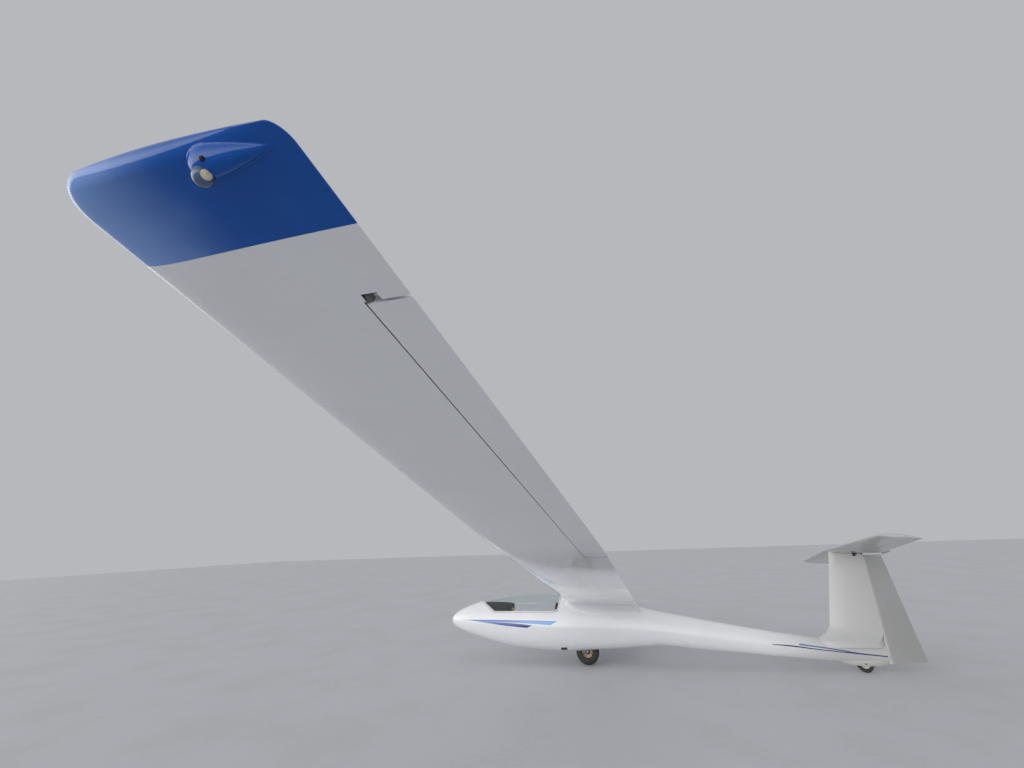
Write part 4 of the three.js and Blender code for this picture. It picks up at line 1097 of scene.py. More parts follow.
# %% Instrument panel
PANEL = {"front": 1.0463, "thick": 0.004, "low": 0.742, "high": 0.846, "half": 0.146}
DIALS = [  # across, height, radius
    (-0.095, 0.806, 0.030), (0.0, 0.806, 0.034), (0.095, 0.806, 0.030),
    (-0.045, 0.762, 0.015), (0.045, 0.762, 0.015)]
NEEDLE_TURNS = (25, -60, 140, 200, -20)
panel_back = PANEL["front"] + PANEL["thick"]
panel_plate = softened(block("panel_plate", PANEL["front"], panel_back, -PANEL["half"], PANEL["half"],
                             PANEL["low"], PANEL["high"]), 0.0012)
bezels, faces, needles = [], [], []
for (y, z, radius), degrees in zip(DIALS, NEEDLE_TURNS):
    face = radius * 0.86
    profile = [(face, 0.0), (radius, 0.0), (radius, 0.0055), (radius - 0.0015, 0.007), (radius * 0.90, 0.007),
               (face, 0.0045)]
    bezels.append(turned("bezel", profile, (panel_back, y, z), "x", 48))
    faces.append(turned("face", [(TINY, 0.0), (face, 0.0), (face, 0.0025), (TINY, 0.0025)],
                        (panel_back, y, z), "x", 48))
    lean, length, wide = math.radians(degrees), radius * 0.62, radius * 0.045
    tip, across = vec(0, math.sin(lean), math.cos(lean)), vec(0, math.cos(lean), -math.sin(lean))
    outline = [vec(panel_back + 0.0030, y, z) + tip * length * far + across * wide * off
               for far, off in ((-0.25, -1), (-0.25, 1), (0.8, 0.7), (1, 0), (0.8, -0.7))]
    needles.append(slab("needle", outline, [point + vec(0.0008, 0, 0) for point in outline]))
dial_bezels, dial_needles = smooth(joined("dial_bezels", bezels), 40), joined("dial_needles", needles)
dial_faces = joined("dial_faces", faces)
polar = dial_faces.data.uv_layers.new(name="polar")
for loop in dial_faces.data.loops:
    across, height = upright(dial_faces.data.vertices[loop.vertex_index].co)[1:]
    y, z, radius = min(DIALS, key=lambda dial: math.hypot(dial[0] - across, dial[1] - height))
    polar.data[loop.index].uv = (0.5 + (across - y) / (2 * radius), 0.5 + (height - z) / (2 * radius))
print(len(DIALS), "dials")

# %% [markdown]
# The headrest is a small stuffed pad in a sewn cover. Its form is a flattened, squarish ball that is
# fuller at the front than at the back, with a welt round its seam. The seat harness is flat webbing, so
# it is swept directly, with its length and width unwrapped for the weave.

# %% Headrest
REST = {"low": vec(1.786, 0, 0.7385), "high": vec(1.816, 0, 0.853), "half": 0.110,
        "front": 0.016, "back": 0.012}
REST_POWER, REST_SEAM, REST_CROWN = 0.34, 0.0018, 0.75
REST_AROUND, WELT_SIDES = 120, 10
rest_up = unit(REST["high"] - REST["low"])
rest_out = np.cross(rest_up, vec(0, 1, 0))
rest_out *= -1 if rest_out[0] > 0 else 1
rest_middle, rest_tall = (REST["low"] + REST["high"]) / 2, np.linalg.norm(REST["high"] - REST["low"]) / 2


def rest_point(around, out, grow=0.0):
    reach = math.cos(out)
    across = squarish(math.cos(around), REST_POWER) * squarish(reach, 0.42)
    rise = squarish(math.sin(around), REST_POWER) * squarish(reach, 0.42)
    crown = math.sin(out) * (1 - 0.25 * abs(across) ** 4) * (1 - 0.25 * abs(rise) ** 4)
    pucker = 1 - 0.035 * (1 - abs(math.sin(out))) * (math.cos(4 * around) + 1)
    deep = (REST["front"] if out > 0 else REST["back"]) * squarish(crown, REST_CROWN)
    return (rest_middle + vec(0, 1, 0) * (REST["half"] - 0.003 + grow) * across * pucker
            + rest_up * (rest_tall - 0.003 + grow) * rise * pucker + rest_out * deep)


outs = np.linspace(-math.pi / 2 + 0.02, math.pi / 2 - 0.02, 49)
pad_rings = [[rest_point(a, out) for a in circle(REST_AROUND)] for out in outs]
headrest_pad = smooth(loft("headrest_pad", pad_rings), 80)
seam_path = [rest_point(a, 0.0, 0.0006) for a in circle(REST_AROUND)]
seam_points = []
for i in range(REST_AROUND):
    side = np.cross(unit(seam_path[(i + 1) % REST_AROUND] - seam_path[i - 1]), rest_out)
    seam_points += [seam_path[i] + REST_SEAM * (math.cos(a) * side + math.sin(a) * rest_out)
                    for a in circle(WELT_SIDES)]
headrest_welt = smooth(solid("headrest_welt", seam_points, ring_faces(REST_AROUND, WELT_SIDES)), 80)
headrest_stem = softened(block("headrest_stem", 1.812, HOLLOW_END - 0.0005, -0.025, 0.025,
                               0.790, 0.815), 0.004)

# %% Harness
STRAP_HALF, STRAP_THICK, STRAP_SIDES, STRAP_STEPS, SHOULDER_Y = 0.0225, 0.0024, 16, 70, 0.0825
SHOULDER = [(1.431, 0.3742), (1.470, 0.3962), (1.529, 0.4288), (1.556, 0.4648),
            (1.630, 0.5705), (1.731, 0.7148)]


def strap(name, path, across, half=STRAP_HALF, thick=STRAP_THICK):
    """Flat webbing with rounded edges; u runs along it and v across, in metres."""
    path, across = np.array(path, float), np.array(across, float)
    rings = []
    for i, point in enumerate(path):
        out = np.cross(tangent_at(path, i), across)
        rings.append([point + across * half * squarish(math.cos(a), 0.3)
                      + out * thick / 2 * squarish(math.sin(a), 0.5)
                      for a in circle(STRAP_SIDES)])
    lengths = lengths_along(path)
    made = loft(name, rings)
    layer = made.data.uv_layers.new(name="webbing")
    for loop in made.data.loops:
        offsets = upright(made.data.vertices[loop.vertex_index].co) - path
        i = int(np.argmin(np.linalg.norm(offsets - np.outer(offsets @ across, across), axis=1)))
        layer.data[loop.index].uv = (lengths[i], float(offsets[i] @ across))
    return smooth(made, 50)


def lengths_along(path):
    return np.concatenate([[0], np.cumsum(np.linalg.norm(np.diff(path, axis=0), axis=1))])


def through_points(points, steps):
    points = np.array(points, float)
    far = lengths_along(points)
    fine = np.linspace(0, far[-1], steps)
    line = np.stack([np.interp(fine, far, points[:, k]) for k in range(3)], axis=1)
    for _ in range(6):
        line[1:-1] = (line[:-2] + 2 * line[1:-1] + line[2:]) / 4
    return line


def shoulder_line(side):
    return through_points([(x, side * SHOULDER_Y, z) for x, z in SHOULDER], STRAP_STEPS)


straps = [strap("shoulder_strap", shoulder_line(side), (0, 1, 0)) for side in (-1, 1)]
lap_way = unit(vec(0.044, 0, 0.0243))
lap_line = through_points([(1.4515, -0.150, 0.3850), (1.4515, 0, 0.3862), (1.4515, 0.150, 0.3850)], 40)
straps.append(strap("lap_strap", lap_line, lap_way, 0.0245))
webbing = smooth(joined("harness_webbing", straps), 50)

BUCKLE = {"x": 1.4487, "z": 0.3915, "tilt": math.atan2(0.0243, 0.044)}


def tilted(points):
    """From a flat layout to the slope of the seat at the buckle."""
    c, s = math.cos(BUCKLE["tilt"]), math.sin(BUCKLE["tilt"])
    points = np.array(points, float)
    return np.stack([BUCKLE["x"] + points[:, 0] * c - points[:, 2] * s, points[:, 1],
                     BUCKLE["z"] + points[:, 0] * s + points[:, 2] * c], axis=1)


buckle_profile = [(TINY, -0.004), (0.0185, -0.004), (0.0195, -0.003), (0.0195, 0.004), (0.0175, 0.006),
                  (0.011, 0.0068), (0.010, 0.0052), (TINY, 0.0052)]
disc = tilted([(r * math.cos(a), r * math.sin(a), h) for r, h in buckle_profile for a in circle(64)])
parts = [solid("buckle_disc", disc, ring_faces(len(buckle_profile), 64))]
for low, high, half, thick in ((-0.0035, 0.0035, 0.019, 0.0075), (-0.019, 0.019, 0.0035, 0.0075)):
    corners = tilted([(x, y, z) for x in (low, high) for y in (-half, half) for z in (0.004, thick)])
    parts.append(solid("bar", corners, BOX_FACES))
for middle in (-SHOULDER_Y, SHOULDER_Y):
    outline = [(1.593, 0.5215), (1.5965, 0.5185), (1.6155, 0.5455), (1.612, 0.5485)]
    parts.append(softened(prism("slide", outline, middle - 0.0265, middle + 0.0265), 0.001, 2))
buckle = softened(joined("harness_buckle", parts), 0.0006, 2)
print("harness", len(webbing.data.polygons), "faces")

# %% [markdown]
# Finishes are built from small shader node groups, each made once with named sockets: where a point
# lies on the aircraft, the slow waves and fine peel of hand-polished gelcoat, soiling, metal grain,
# weave, and the tapered stripes. Each material mixes its own colours from them and keeps its own shader.

# %% Shader helpers


def link(tree, socket, value):
    """Joins a socket to another one, or gives it a plain value."""
    if isinstance(value, bpy.types.NodeSocket):
        tree.links.new(value, socket)
    else:
        socket.default_value = (*value, 1) if socket.type == "RGBA" else value


def add(tree, kind, inputs=None, **settings):
    node = tree.nodes.new(kind)
    for key, value in settings.items():
        setattr(node, key, value)
    for key, value in (inputs or {}).items():
        link(tree, node.inputs[key], value)
    return node


def calc(tree, operation, *values, clamp=False):
    return add(tree, "ShaderNodeMath", dict(enumerate(values)), operation=operation,
               use_clamp=clamp).outputs[0]


def times(tree, first, *others):
    for other in others:
        first = calc(tree, "MULTIPLY", first, other)
    return first


def plus(tree, first, second, clamp=False):
    return calc(tree, "ADD", first, second, clamp=clamp)


def minus(tree, first, second):
    return calc(tree, "SUBTRACT", first, second)


def scaled(tree, value, by, more=0.0, clamp=False):
    return calc(tree, "MULTIPLY_ADD", value, by, more, clamp=clamp)


def ramp(tree, value, low, high):
    return add(tree, "ShaderNodeMapRange", {0: value, 1: low, 2: high},
               interpolation_type="SMOOTHSTEP").outputs[0]


def blended(tree, share, first, second):
    return add(tree, "ShaderNodeMix", {"Factor": share, 6: first, 7: second}, data_type="RGBA").outputs[2]


def group(name, inputs, outputs):
    """A new group: its tree, the values given to it and the sockets that it hands out."""
    tree = bpy.data.node_groups.new(name, "ShaderNodeTree")
    for label, value in inputs:
        tree.interface.new_socket(label, in_out="INPUT", socket_type="NodeSocketFloat").default_value = value
    for label, kind in outputs:
        tree.interface.new_socket(label, in_out="OUTPUT", socket_type="NodeSocket" + kind)
    return tree, tree.nodes.new("NodeGroupInput").outputs, tree.nodes.new("NodeGroupOutput").inputs


def use(tree, wanted, inputs=None):
    return list(add(tree, "ShaderNodeGroup", inputs, node_tree=wanted).outputs)


def noise(tree, place, scale, detail=3.0, rough=0.5):
    inputs = {"Vector": place, "Scale": scale, "Detail": detail, "Roughness": rough}
    return add(tree, "ShaderNodeTexNoise", inputs).outputs[0]


def bumped(tree, height, distance, strength=1.0, **more):
    inputs = {"Strength": strength, "Distance": distance, "Height": height, **more}
    return add(tree, "ShaderNodeBump", inputs).outputs[0]


def object_place(tree):
    return add(tree, "ShaderNodeTexCoord").outputs["Object"]


def aircraft_place(tree):
    return use(tree, on_aircraft)[:3]


def dirty(tree, scale, cover):
    return use(tree, soiling, {"Scale": scale, "Cover": cover})[0]


def polished(tree, waves, scale, peel=1.0):
    return use(tree, polish, {"Waves": waves, "Wave Scale": scale, "Peel": peel})[0]


def grained(tree, scale, depth):
    return use(tree, moulded, {"Scale": scale, "Depth": depth})[0]


print("shader helpers ready")

# %% Shader groups
on_aircraft, _, out = group("on_aircraft", [], [("Along", "Float"), ("Across", "Float"), ("Height", "Float")])
mapping = add(on_aircraft, "ShaderNodeMapping", {
    "Vector": object_place(on_aircraft), "Location": tuple(ORIGIN), "Rotation": (-ROLL, 0, 0)},
    vector_type="TEXTURE")
parts_of = add(on_aircraft, "ShaderNodeSeparateXYZ", {0: mapping.outputs[0]}).outputs
for index in range(3):
    link(on_aircraft, out[index], parts_of[index])

# Slow waves and fine peel of a sprayed and polished surface
polish, given, out = group("polish", [("Waves", 1.0), ("Wave Scale", 4.0), ("Peel", 1.0)],
                           [("Normal", "Vector")])
place = object_place(polish)
waves = times(polish, noise(polish, place, given["Wave Scale"], 1.5, 0.4), given["Waves"])
peel = times(polish, noise(polish, place, 260.0, 2.0, 0.5), given["Peel"])
link(polish, out[0], bumped(polish, peel, 0.0000022, Normal=bumped(polish, waves, 0.0011)))

# Uneven dirt: broad clouds broken up by finer specks, from 0 to 1
soiling, given, out = group("soiling", [("Scale", 5.0), ("Cover", 0.5)], [("Mask", "Float")])
place = object_place(soiling)
cloud = noise(soiling, place, given["Scale"], 5.0, 0.6)
speck = noise(soiling, place, times(soiling, given["Scale"], 23.0), 3.0, 0.7)
both = plus(soiling, times(soiling, cloud, 0.7), times(soiling, speck, 0.3))
edge = minus(soiling, 0.85, times(soiling, given["Cover"], 0.6))
link(soiling, out[0], ramp(soiling, both, minus(soiling, edge, 0.15), edge))

# Grain that runs across the metal, as a height and as a mask
grain, given, out = group("metal_grain", [("Scale", 60.0)], [("Mask", "Float"), ("Height", "Float")])
stretched = add(grain, "ShaderNodeMapping",
                {"Vector": object_place(grain), "Scale": (1.0, 14.0, 1.0)}).outputs[0]
lines = noise(grain, stretched, given["Scale"], 4.0, 0.7)
link(grain, out[0], ramp(grain, lines, 0.35, 0.7))
link(grain, out[1], lines)

# Fine cast or moulded roughness
moulded, given, out = group("moulded", [("Scale", 500.0), ("Depth", 0.0002)],
                            [("Normal", "Vector"), ("Mask", "Float")])
cells = add(moulded, "ShaderNodeTexVoronoi",
            {"Vector": object_place(moulded), "Scale": given["Scale"]}).outputs[0]
link(moulded, out[0], bumped(moulded, cells, given["Depth"]))
link(moulded, out[1], ramp(moulded, cells, 0.1, 0.7))


def ruled_curve(tree, value, points):
    """A smooth line through points with both coordinates from 0 to 1."""
    node = add(tree, "ShaderNodeFloatCurve", {"Value": value})
    curve = node.mapping.curves[0]
    curve.points[0].location, curve.points[-1].location = points[0], points[-1]
    for point in points[1:-1]:
        curve.points.new(*point)
    node.mapping.update()
    return node.outputs[0]


STRIPE_LOW, STRIPE_TALL, STRIPE_SOFT, BODY_REACH = 0.10, 0.60, 0.0009, 0.36


def stripe_group(name, upper, lower, end_high, end_low):
    """A tapered stripe on both sides of the body, between two lines in side view and a slanted end."""
    tree, _, out = group(name, [], [("Mask", "Float")])
    along, across, height = aircraft_place(tree)
    x0, x1, soft = upper[0][0], max(end_high[0], end_low[0]), STRIPE_SOFT / STRIPE_TALL
    share = calc(tree, "DIVIDE", minus(tree, along, x0), x1 - x0, clamp=True)
    level = calc(tree, "DIVIDE", minus(tree, height, STRIPE_LOW), STRIPE_TALL)
    top, bottom = (ruled_curve(tree, share, [((x - x0) / (x1 - x0), (z - STRIPE_LOW) / STRIPE_TALL)
                                             for x, z in line])
                   for line in (upper, lower))
    lean = (end_high[0] - end_low[0]) / (end_high[1] - end_low[1])
    limit = scaled(tree, minus(tree, height, end_low[1]), lean, end_low[0])
    mask = times(tree, ramp(tree, minus(tree, top, level), -soft, soft),
                 ramp(tree, minus(tree, level, bottom), -soft, soft),
                 ramp(tree, minus(tree, limit, along), -STRIPE_SOFT, STRIPE_SOFT),
                 calc(tree, "GREATER_THAN", along, x0),
                 calc(tree, "LESS_THAN", calc(tree, "ABSOLUTE", across), BODY_REACH))
    link(tree, out[0], mask)
    return tree


nose_light = stripe_group(
    "nose_stripe_light", [(0.20, 0.599), (0.454, 0.599), (0.917, 0.596), (1.416, 0.591), (1.847, 0.583)],
    [(0.20, 0.5955), (0.492, 0.5805), (0.918, 0.5665), (1.45, 0.5440), (1.847, 0.518)],
    (1.847, 0.583), (1.732, 0.524))
nose_dark = stripe_group(
    "nose_stripe_dark", [(0.20, 0.594), (0.492, 0.5795), (0.918, 0.5620), (1.20, 0.5460), (1.455, 0.523)],
    [(0.20, 0.591), (0.492, 0.576), (0.658, 0.558), (0.918, 0.525), (1.169, 0.504), (1.455, 0.483)],
    (1.455, 0.523), (1.363, 0.489))
tail_low = stripe_group(
    "tail_stripe_low", [(4.856, 0.313), (5.078, 0.304), (5.443, 0.262), (5.846, 0.227), (6.239, 0.194)],
    [(4.856, 0.305), (5.078, 0.287), (5.443, 0.249), (5.846, 0.213), (6.239, 0.180)],
    (6.245, 0.20), (6.232, 0.18))
tail_high = stripe_group(
    "tail_stripe_high", [(5.199, 0.324), (5.452, 0.292), (5.688, 0.260), (5.938, 0.222), (6.10, 0.207)],
    [(5.199, 0.306), (5.452, 0.277), (5.688, 0.246), (5.938, 0.212), (6.10, 0.198)],
    (6.11, 0.21), (6.09, 0.19))
print(len(bpy.data.node_groups), "shader groups")

# %% [markdown]
# White gelcoat is a hard glossy skin over laminate. It is nearly even in colour, so most of its look is
# in the reflections: slow waves of a hand-finished surface bend them, and a thin clear polish lies on
# top. Dust gathers in broad, faint clouds, and the underside of the tail fairing is scuffed. Toward the
# tail the white is painted darker, and the rudder darker still: painted shade.

# %% Gelcoat and blue paint


def material(name, **plain):
    made = bpy.data.materials.new(name)
    made.use_nodes = True
    tree = made.node_tree
    shader = tree.nodes["Principled BSDF"]
    wire(tree, shader, **plain)
    return made, tree, shader


def wire(tree, shader, **values):
    for key, value in values.items():
        link(tree, shader.inputs[key.replace("_", " ")], value)


WHITE, WHITE_WARM = (0.80, 0.81, 0.835), (0.765, 0.765, 0.77)
TAIL_WHITE_PAINTED_SHADE, TAIL_DUSTY_PAINTED_SHADE = (0.50, 0.50, 0.495), (0.46, 0.46, 0.45)  # painted shade: the tail's white and its dusty tone are darker, as light that falls off toward the tail
SHADE_PAINTED_FROM, SHADE_PAINTED_TO = 4.6, 5.9
STRIPE_PAINTS = (
    # stripe, colour at its front, colour at its back, from, to
    (nose_light, (0.30, 0.30, 0.34), (0.055, 0.16, 0.50), 0.36, 0.50),
    (nose_dark, (0.010, 0.10, 0.44), (0.001, 0.022, 0.21), 0.6, 1.4),
    (tail_low, (0.006, 0.016, 0.11), (0.02, 0.04, 0.16), 5.0, 6.2),
    (tail_high, (0.03, 0.10, 0.33), (0.012, 0.03, 0.15), 5.3, 5.9))
STRIPE_PALE, PALE_FROM, PALE_TO = (0.19, 0.37, 0.74), 0.8, 1.5


def gelcoat(name, waves, striped=False, wave_scale=3.2, white=WHITE, dull=WHITE_WARM):
    made, tree, shader = material(name, IOR=1.5, Coat_Weight=0.5, Coat_Roughness=0.03)
    dirt = dirty(tree, 2.6, 0.42)
    colour = blended(tree, times(tree, dirt, 0.55), white, dull)
    if striped:
        along, _, height = aircraft_place(tree)
        # Painted shade: the body's white darkens toward the tail.
        colour = blended(tree, ramp(tree, along, SHADE_PAINTED_FROM, SHADE_PAINTED_TO), colour, TAIL_WHITE_PAINTED_SHADE)
        for stripe, front, back, start, end in STRIPE_PAINTS:
            paint = blended(tree, ramp(tree, along, start, end), front, back)
            if stripe is nose_light:
                paint = blended(tree, ramp(tree, along, PALE_FROM, PALE_TO), paint, STRIPE_PALE)
            colour = blended(tree, use(tree, stripe)[0], colour, paint)
        low = times(tree, ramp(tree, height, 0.16, 0.06), ramp(tree, along, 5.6, 5.8))
        scuff = times(tree, dirty(tree, 16.0, 0.75), low)
        colour = blended(tree, scuff, colour, (0.50, 0.49, 0.46))
    wire(tree, shader, Base_Color=colour, Roughness=scaled(tree, dirt, 0.10, 0.13),
         Normal=polished(tree, waves, wave_scale))
    return made


body_gelcoat = gelcoat("gelcoat_body", 0.5, True)
wing_gelcoat = gelcoat("gelcoat_wing", 0.7)
# Painted shade: the tailplane and elevator are darker than the body.
tail_gelcoat_painted_shade = gelcoat("gelcoat_tail", 0.7, white=TAIL_WHITE_PAINTED_SHADE, dull=TAIL_DUSTY_PAINTED_SHADE)
# Painted shade: the rudder's white is darker still than the tail's.
rudder_gelcoat_painted_shade = gelcoat("gelcoat_rudder", 0.7, white=(0.34, 0.34, 0.338), dull=(0.31, 0.31, 0.305))

# The tip's blue: deep at the back, and paler toward the leading edge, a painted reflection of a bright sky
BLUE, BLUE_DUSTY, BLUE_PAINTED_REFLECTION = (0.0004, 0.080, 0.38), (0.003, 0.095, 0.41), (0.21, 0.36, 0.74)
PAINTED_REFLECTION_FROM, PAINTED_REFLECTION_TO = 2.41, 2.14
tip_blue, tree, shader = material("tip_blue", IOR=1.29, Coat_Weight=0.15, Coat_Roughness=0.02)
dirt = dirty(tree, 9.0, 0.35)
along = aircraft_place(tree)[0]
wander = scaled(tree, noise(tree, object_place(tree), 9.0, 2.0), 0.10, along)
painted_reflection = times(tree, ramp(tree, wander, PAINTED_REFLECTION_FROM + 0.05, PAINTED_REFLECTION_TO + 0.05), 0.9)
paint = blended(tree, times(tree, dirt, 0.5), BLUE, BLUE_DUSTY)
wire(tree, shader, Base_Color=blended(tree, painted_reflection, paint, BLUE_PAINTED_REFLECTION),
     Roughness=scaled(tree, dirt, 0.08, 0.07),
     Normal=polished(tree, 0.5, 7.0))

# The foot under the tip: blue paint that floors have worn through at its lowest place
foot_paint, tree, shader = material("foot_paint", IOR=1.5, Coat_Weight=0.4)
along, across, height = aircraft_place(tree)
ground_way = (0.89, 0.28, -0.36)  # aft, a little outboard and down: the side that drags when the wing is low
reach = [times(tree, minus(tree, value, float(centre)), way) for value, centre, way in zip(
    (along, calc(tree, "ABSOLUTE", across), height), foot_centre, ground_way)]
low_spot = ramp(tree, plus(tree, plus(tree, reach[0], reach[1]), reach[2]), 0.0132, 0.0144)
worn = times(tree, low_spot, ramp(tree, noise(tree, object_place(tree), 180.0, 3.0), 0.2, 0.4))
wire(tree, shader, Base_Color=blended(tree, worn, (0.055, 0.10, 0.20), (0.72, 0.66, 0.50)),
     Roughness=scaled(tree, worn, 0.4, 0.2), Normal=grained(tree, 900.0, 0.0001))

# %% Clear, black and lining
acrylic, tree, shader = material("clear_acrylic", Base_Color=(0.93, 0.965, 0.97), IOR=1.49,
                                 Transmission_Weight=1.0,
                                 Metallic=0.0, Roughness=0.0)
haze = dirty(tree, 7.0, 0.3)
wire(tree, shader, Roughness=scaled(tree, haze, 0.015, 0.0),
     Normal=polished(tree, 0.35, 6.0, 0.0))


def textured(name, dark, light, rough, scale, depth, wear=0.35, **plain):
    """Moulded or sprayed finishes: two tones, a grained surface and a little dust."""
    made, tree, shader = material(name, **plain)
    normal, cells = use(tree, moulded, {"Scale": scale, "Depth": depth})
    dirt = dirty(tree, 22.0, wear)
    tone = plus(tree, times(tree, cells, 0.35), times(tree, dirt, 0.65), clamp=True)
    wire(tree, shader, Base_Color=blended(tree, tone, dark, light), Normal=normal,
         Roughness=scaled(tree, dirt, 0.15, rough, clamp=True))
    return made


crackle_black = textured("crackle_black", (0.012, 0.012, 0.013), (0.035, 0.035, 0.037), 0.62, 900.0, 0.00012)
leather_black = textured("leather_black", (0.010, 0.010, 0.011), (0.028, 0.028, 0.030),
                         0.48, 620.0, 0.00022, 0.4)
grip_rubber = textured("grip_rubber", (0.010, 0.010, 0.010), (0.030, 0.030, 0.030), 0.7, 1400.0, 0.0001)
# Dark fittings and bezels; the same dark also stands as painted shade in holes and slots.
dark_fitting = textured("dark_fitting", (0.008, 0.008, 0.009), (0.03, 0.03, 0.032), 0.5, 700.0, 0.00005)
# The hollows' near-black grey is partly the bare laminate's own colour and partly painted shade.
hollow_grey = textured("hollow_grey", (0.030, 0.031, 0.030), (0.065, 0.066, 0.062), 0.7, 500.0, 0.00008, 0.5)
plug_grey = textured("plug_grey", (0.13, 0.135, 0.125), (0.20, 0.205, 0.19), 0.45, 500.0, 0.00003)
dial_white = textured("dial_white", (0.66, 0.66, 0.64), (0.78, 0.78, 0.76), 0.4, 1500.0, 0.00001)
hub_white = textured("hub_white", (0.52, 0.52, 0.50), (0.66, 0.66, 0.65), 0.45, 600.0, 0.00006, 0.6)
lever_blue = textured("lever_blue", (0.012, 0.055, 0.30), (0.030, 0.10, 0.42),
                      0.3, 500.0, 0.00003, Coat_Weight=0.4)
knob_yellow = textured("knob_yellow", (0.72, 0.47, 0.03), (0.85, 0.60, 0.08),
                       0.32, 500.0, 0.00002, Coat_Weight=0.3)

speckled, tree, shader = material("lining_speckled", Specular_IOR_Level=0.35)
specks = add(tree, "ShaderNodeTexVoronoi", {"Vector": object_place(tree), "Scale": 420.0}).outputs[0]
grey = blended(tree, ramp(tree, specks, 0.18, 0.10), (0.235, 0.24, 0.255), (0.62, 0.62, 0.61))
grey = blended(tree, ramp(tree, noise(tree, object_place(tree), 340.0, 1.0), 0.66, 0.72),
               grey, (0.03, 0.03, 0.035))
wire(tree, shader, Base_Color=grey, Normal=grained(tree, 420.0, 0.0002),
     Roughness=scaled(tree, dirty(tree, 6.0, 0.5), 0.2, 0.6))

# %% Metals, rubber and webbing


def metal(name, bright, dull, rough, metallic=1.0, scale=60.0):
    made, tree, shader = material(name, Metallic=metallic)
    lines, height = use(tree, grain, {"Scale": scale})
    dirt = dirty(tree, 30.0, 0.5)
    colour = blended(tree, dirt, blended(tree, lines, bright, dull), tuple(0.45 * v for v in dull))
    wire(tree, shader, Base_Color=colour, Roughness=scaled(tree, dirt, 0.25, rough),
         Normal=bumped(tree, height, 0.00005, 0.4))
    return made


steel = metal("steel_plain", (0.55, 0.56, 0.58), (0.36, 0.37, 0.39), 0.28)
steel_dark = metal("steel_dark", (0.20, 0.20, 0.21), (0.10, 0.10, 0.11), 0.38)
rim_cream = metal("rim_cream", (0.74, 0.58, 0.27), (0.60, 0.46, 0.20), 0.34, 0.35, 25.0)
panel_metal = metal("panel_metal", (0.16, 0.165, 0.17), (0.11, 0.11, 0.115), 0.42, 0.6, 45.0)

rubber, tree, shader = material("tyre_rubber", Specular_IOR_Level=0.4)
dust = dirty(tree, 26.0, 0.6)
wire(tree, shader, Base_Color=blended(tree, times(tree, dust, 0.7),
                                            (0.011, 0.011, 0.012), (0.060, 0.056, 0.050)),
     Roughness=scaled(tree, dust, 0.25, 0.55), Normal=grained(tree, 700.0, 0.00015))

weave, given, out = group("weave", [("Threads", 700.0)], [("Height", "Float"), ("Mask", "Float")])
place = add(weave, "ShaderNodeUVMap", uv_map="webbing").outputs[0]
run, over = list(add(weave, "ShaderNodeSeparateXYZ", {0: place}).outputs)[:2]
run, over = (times(weave, value, given["Threads"]) for value in (run, over))
twill = calc(weave, "SINE", times(weave, plus(weave, run, over), math.pi))
rib = calc(weave, "ABSOLUTE", calc(weave, "SINE", times(weave, over, math.pi)))
link(weave, out[0], scaled(weave, twill, 0.5, rib))
link(weave, out[1], ramp(weave, twill, -0.4, 0.8))
webbing_cloth, tree, shader = material("webbing_cloth", Sheen_Weight=0.35,
                                       Sheen_Roughness=0.4, Specular_IOR_Level=0.3)
height, threads = use(tree, weave, {"Threads": 620.0})
wire(tree, shader, Base_Color=blended(tree, threads, (0.012, 0.020, 0.060), (0.035, 0.055, 0.13)),
     Roughness=scaled(tree, threads, -0.15, 0.85),
     Normal=bumped(tree, height, 0.0004, 0.7))
thread_white = textured("thread_pale", (0.22, 0.23, 0.27), (0.34, 0.35, 0.38), 0.8, 2500.0, 0.0001)

# Dial faces: black, with a ring of short scale marks every tenth of a turn and finer ones between
dial_black, tree, shader = material("dial_black", Roughness=0.35)
polar = add(tree, "ShaderNodeUVMap", uv_map="polar").outputs[0]
u, v = list(add(tree, "ShaderNodeSeparateXYZ", {0: polar}).outputs)[:2]
u, v = minus(tree, u, 0.5), minus(tree, v, 0.5)
reach = calc(tree, "SQRT", plus(tree, times(tree, u, u), times(tree, v, v)))
turn = calc(tree, "DIVIDE", calc(tree, "ARCTAN2", u, v), 2 * math.pi)


def marks(count, wide, inner, outer):
    phase = calc(tree, "ABSOLUTE", minus(tree, calc(tree, "FRACT", scaled(tree, turn, count, count)), 0.5))
    line = calc(tree, "GREATER_THAN", phase, 0.5 - wide)
    return times(tree, line, times(tree, calc(tree, "GREATER_THAN", reach, inner),
                                             calc(tree, "LESS_THAN", reach, outer)))


scale_marks = calc(tree, "MAXIMUM", marks(10, 0.06, 0.30, 0.41), marks(50, 0.14, 0.36, 0.41))
dial_dirt = dirty(tree, 60.0, 0.4)
wire(tree, shader, Base_Color=blended(
    tree, scale_marks, blended(tree, dial_dirt, (0.006, 0.006, 0.007), (0.015, 0.015, 0.016)),
                                      (0.75, 0.75, 0.72)), Roughness=scaled(tree, dial_dirt, 0.2, 0.3))
print(len(bpy.data.materials), "materials")

# %% [markdown]
# Small fastenings repeat, so Geometry Nodes place them: the screws of the instruments, the bolts of the
# wheels and the stitches of the webbing. A tree takes points or a path, puts one small shape on each
# point, and makes the whole real. The result is turned into a plain mesh at the end.

# %% Geometry Nodes helpers


def nodes_tree(name, inputs):
    tree = bpy.data.node_groups.new(name, "GeometryNodeTree")
    for label, kind in [("Geometry", "Geometry"), *inputs, ("Material", "Material")]:
        tree.interface.new_socket(label, in_out="INPUT", socket_type="NodeSocket" + kind)
    tree.interface.new_socket("Geometry", in_out="OUTPUT", socket_type="NodeSocketGeometry")
    return tree, tree.nodes.new("NodeGroupInput").outputs, tree.nodes.new("NodeGroupOutput").inputs


def ending(tree, given, out, instances):
    real = add(tree, "GeometryNodeRealizeInstances", {0: instances}).outputs[0]
    painted = add(tree, "GeometryNodeSetMaterial",
                  {"Geometry": real, "Material": given["Material"]}).outputs[0]
    link(tree, out[0], painted)


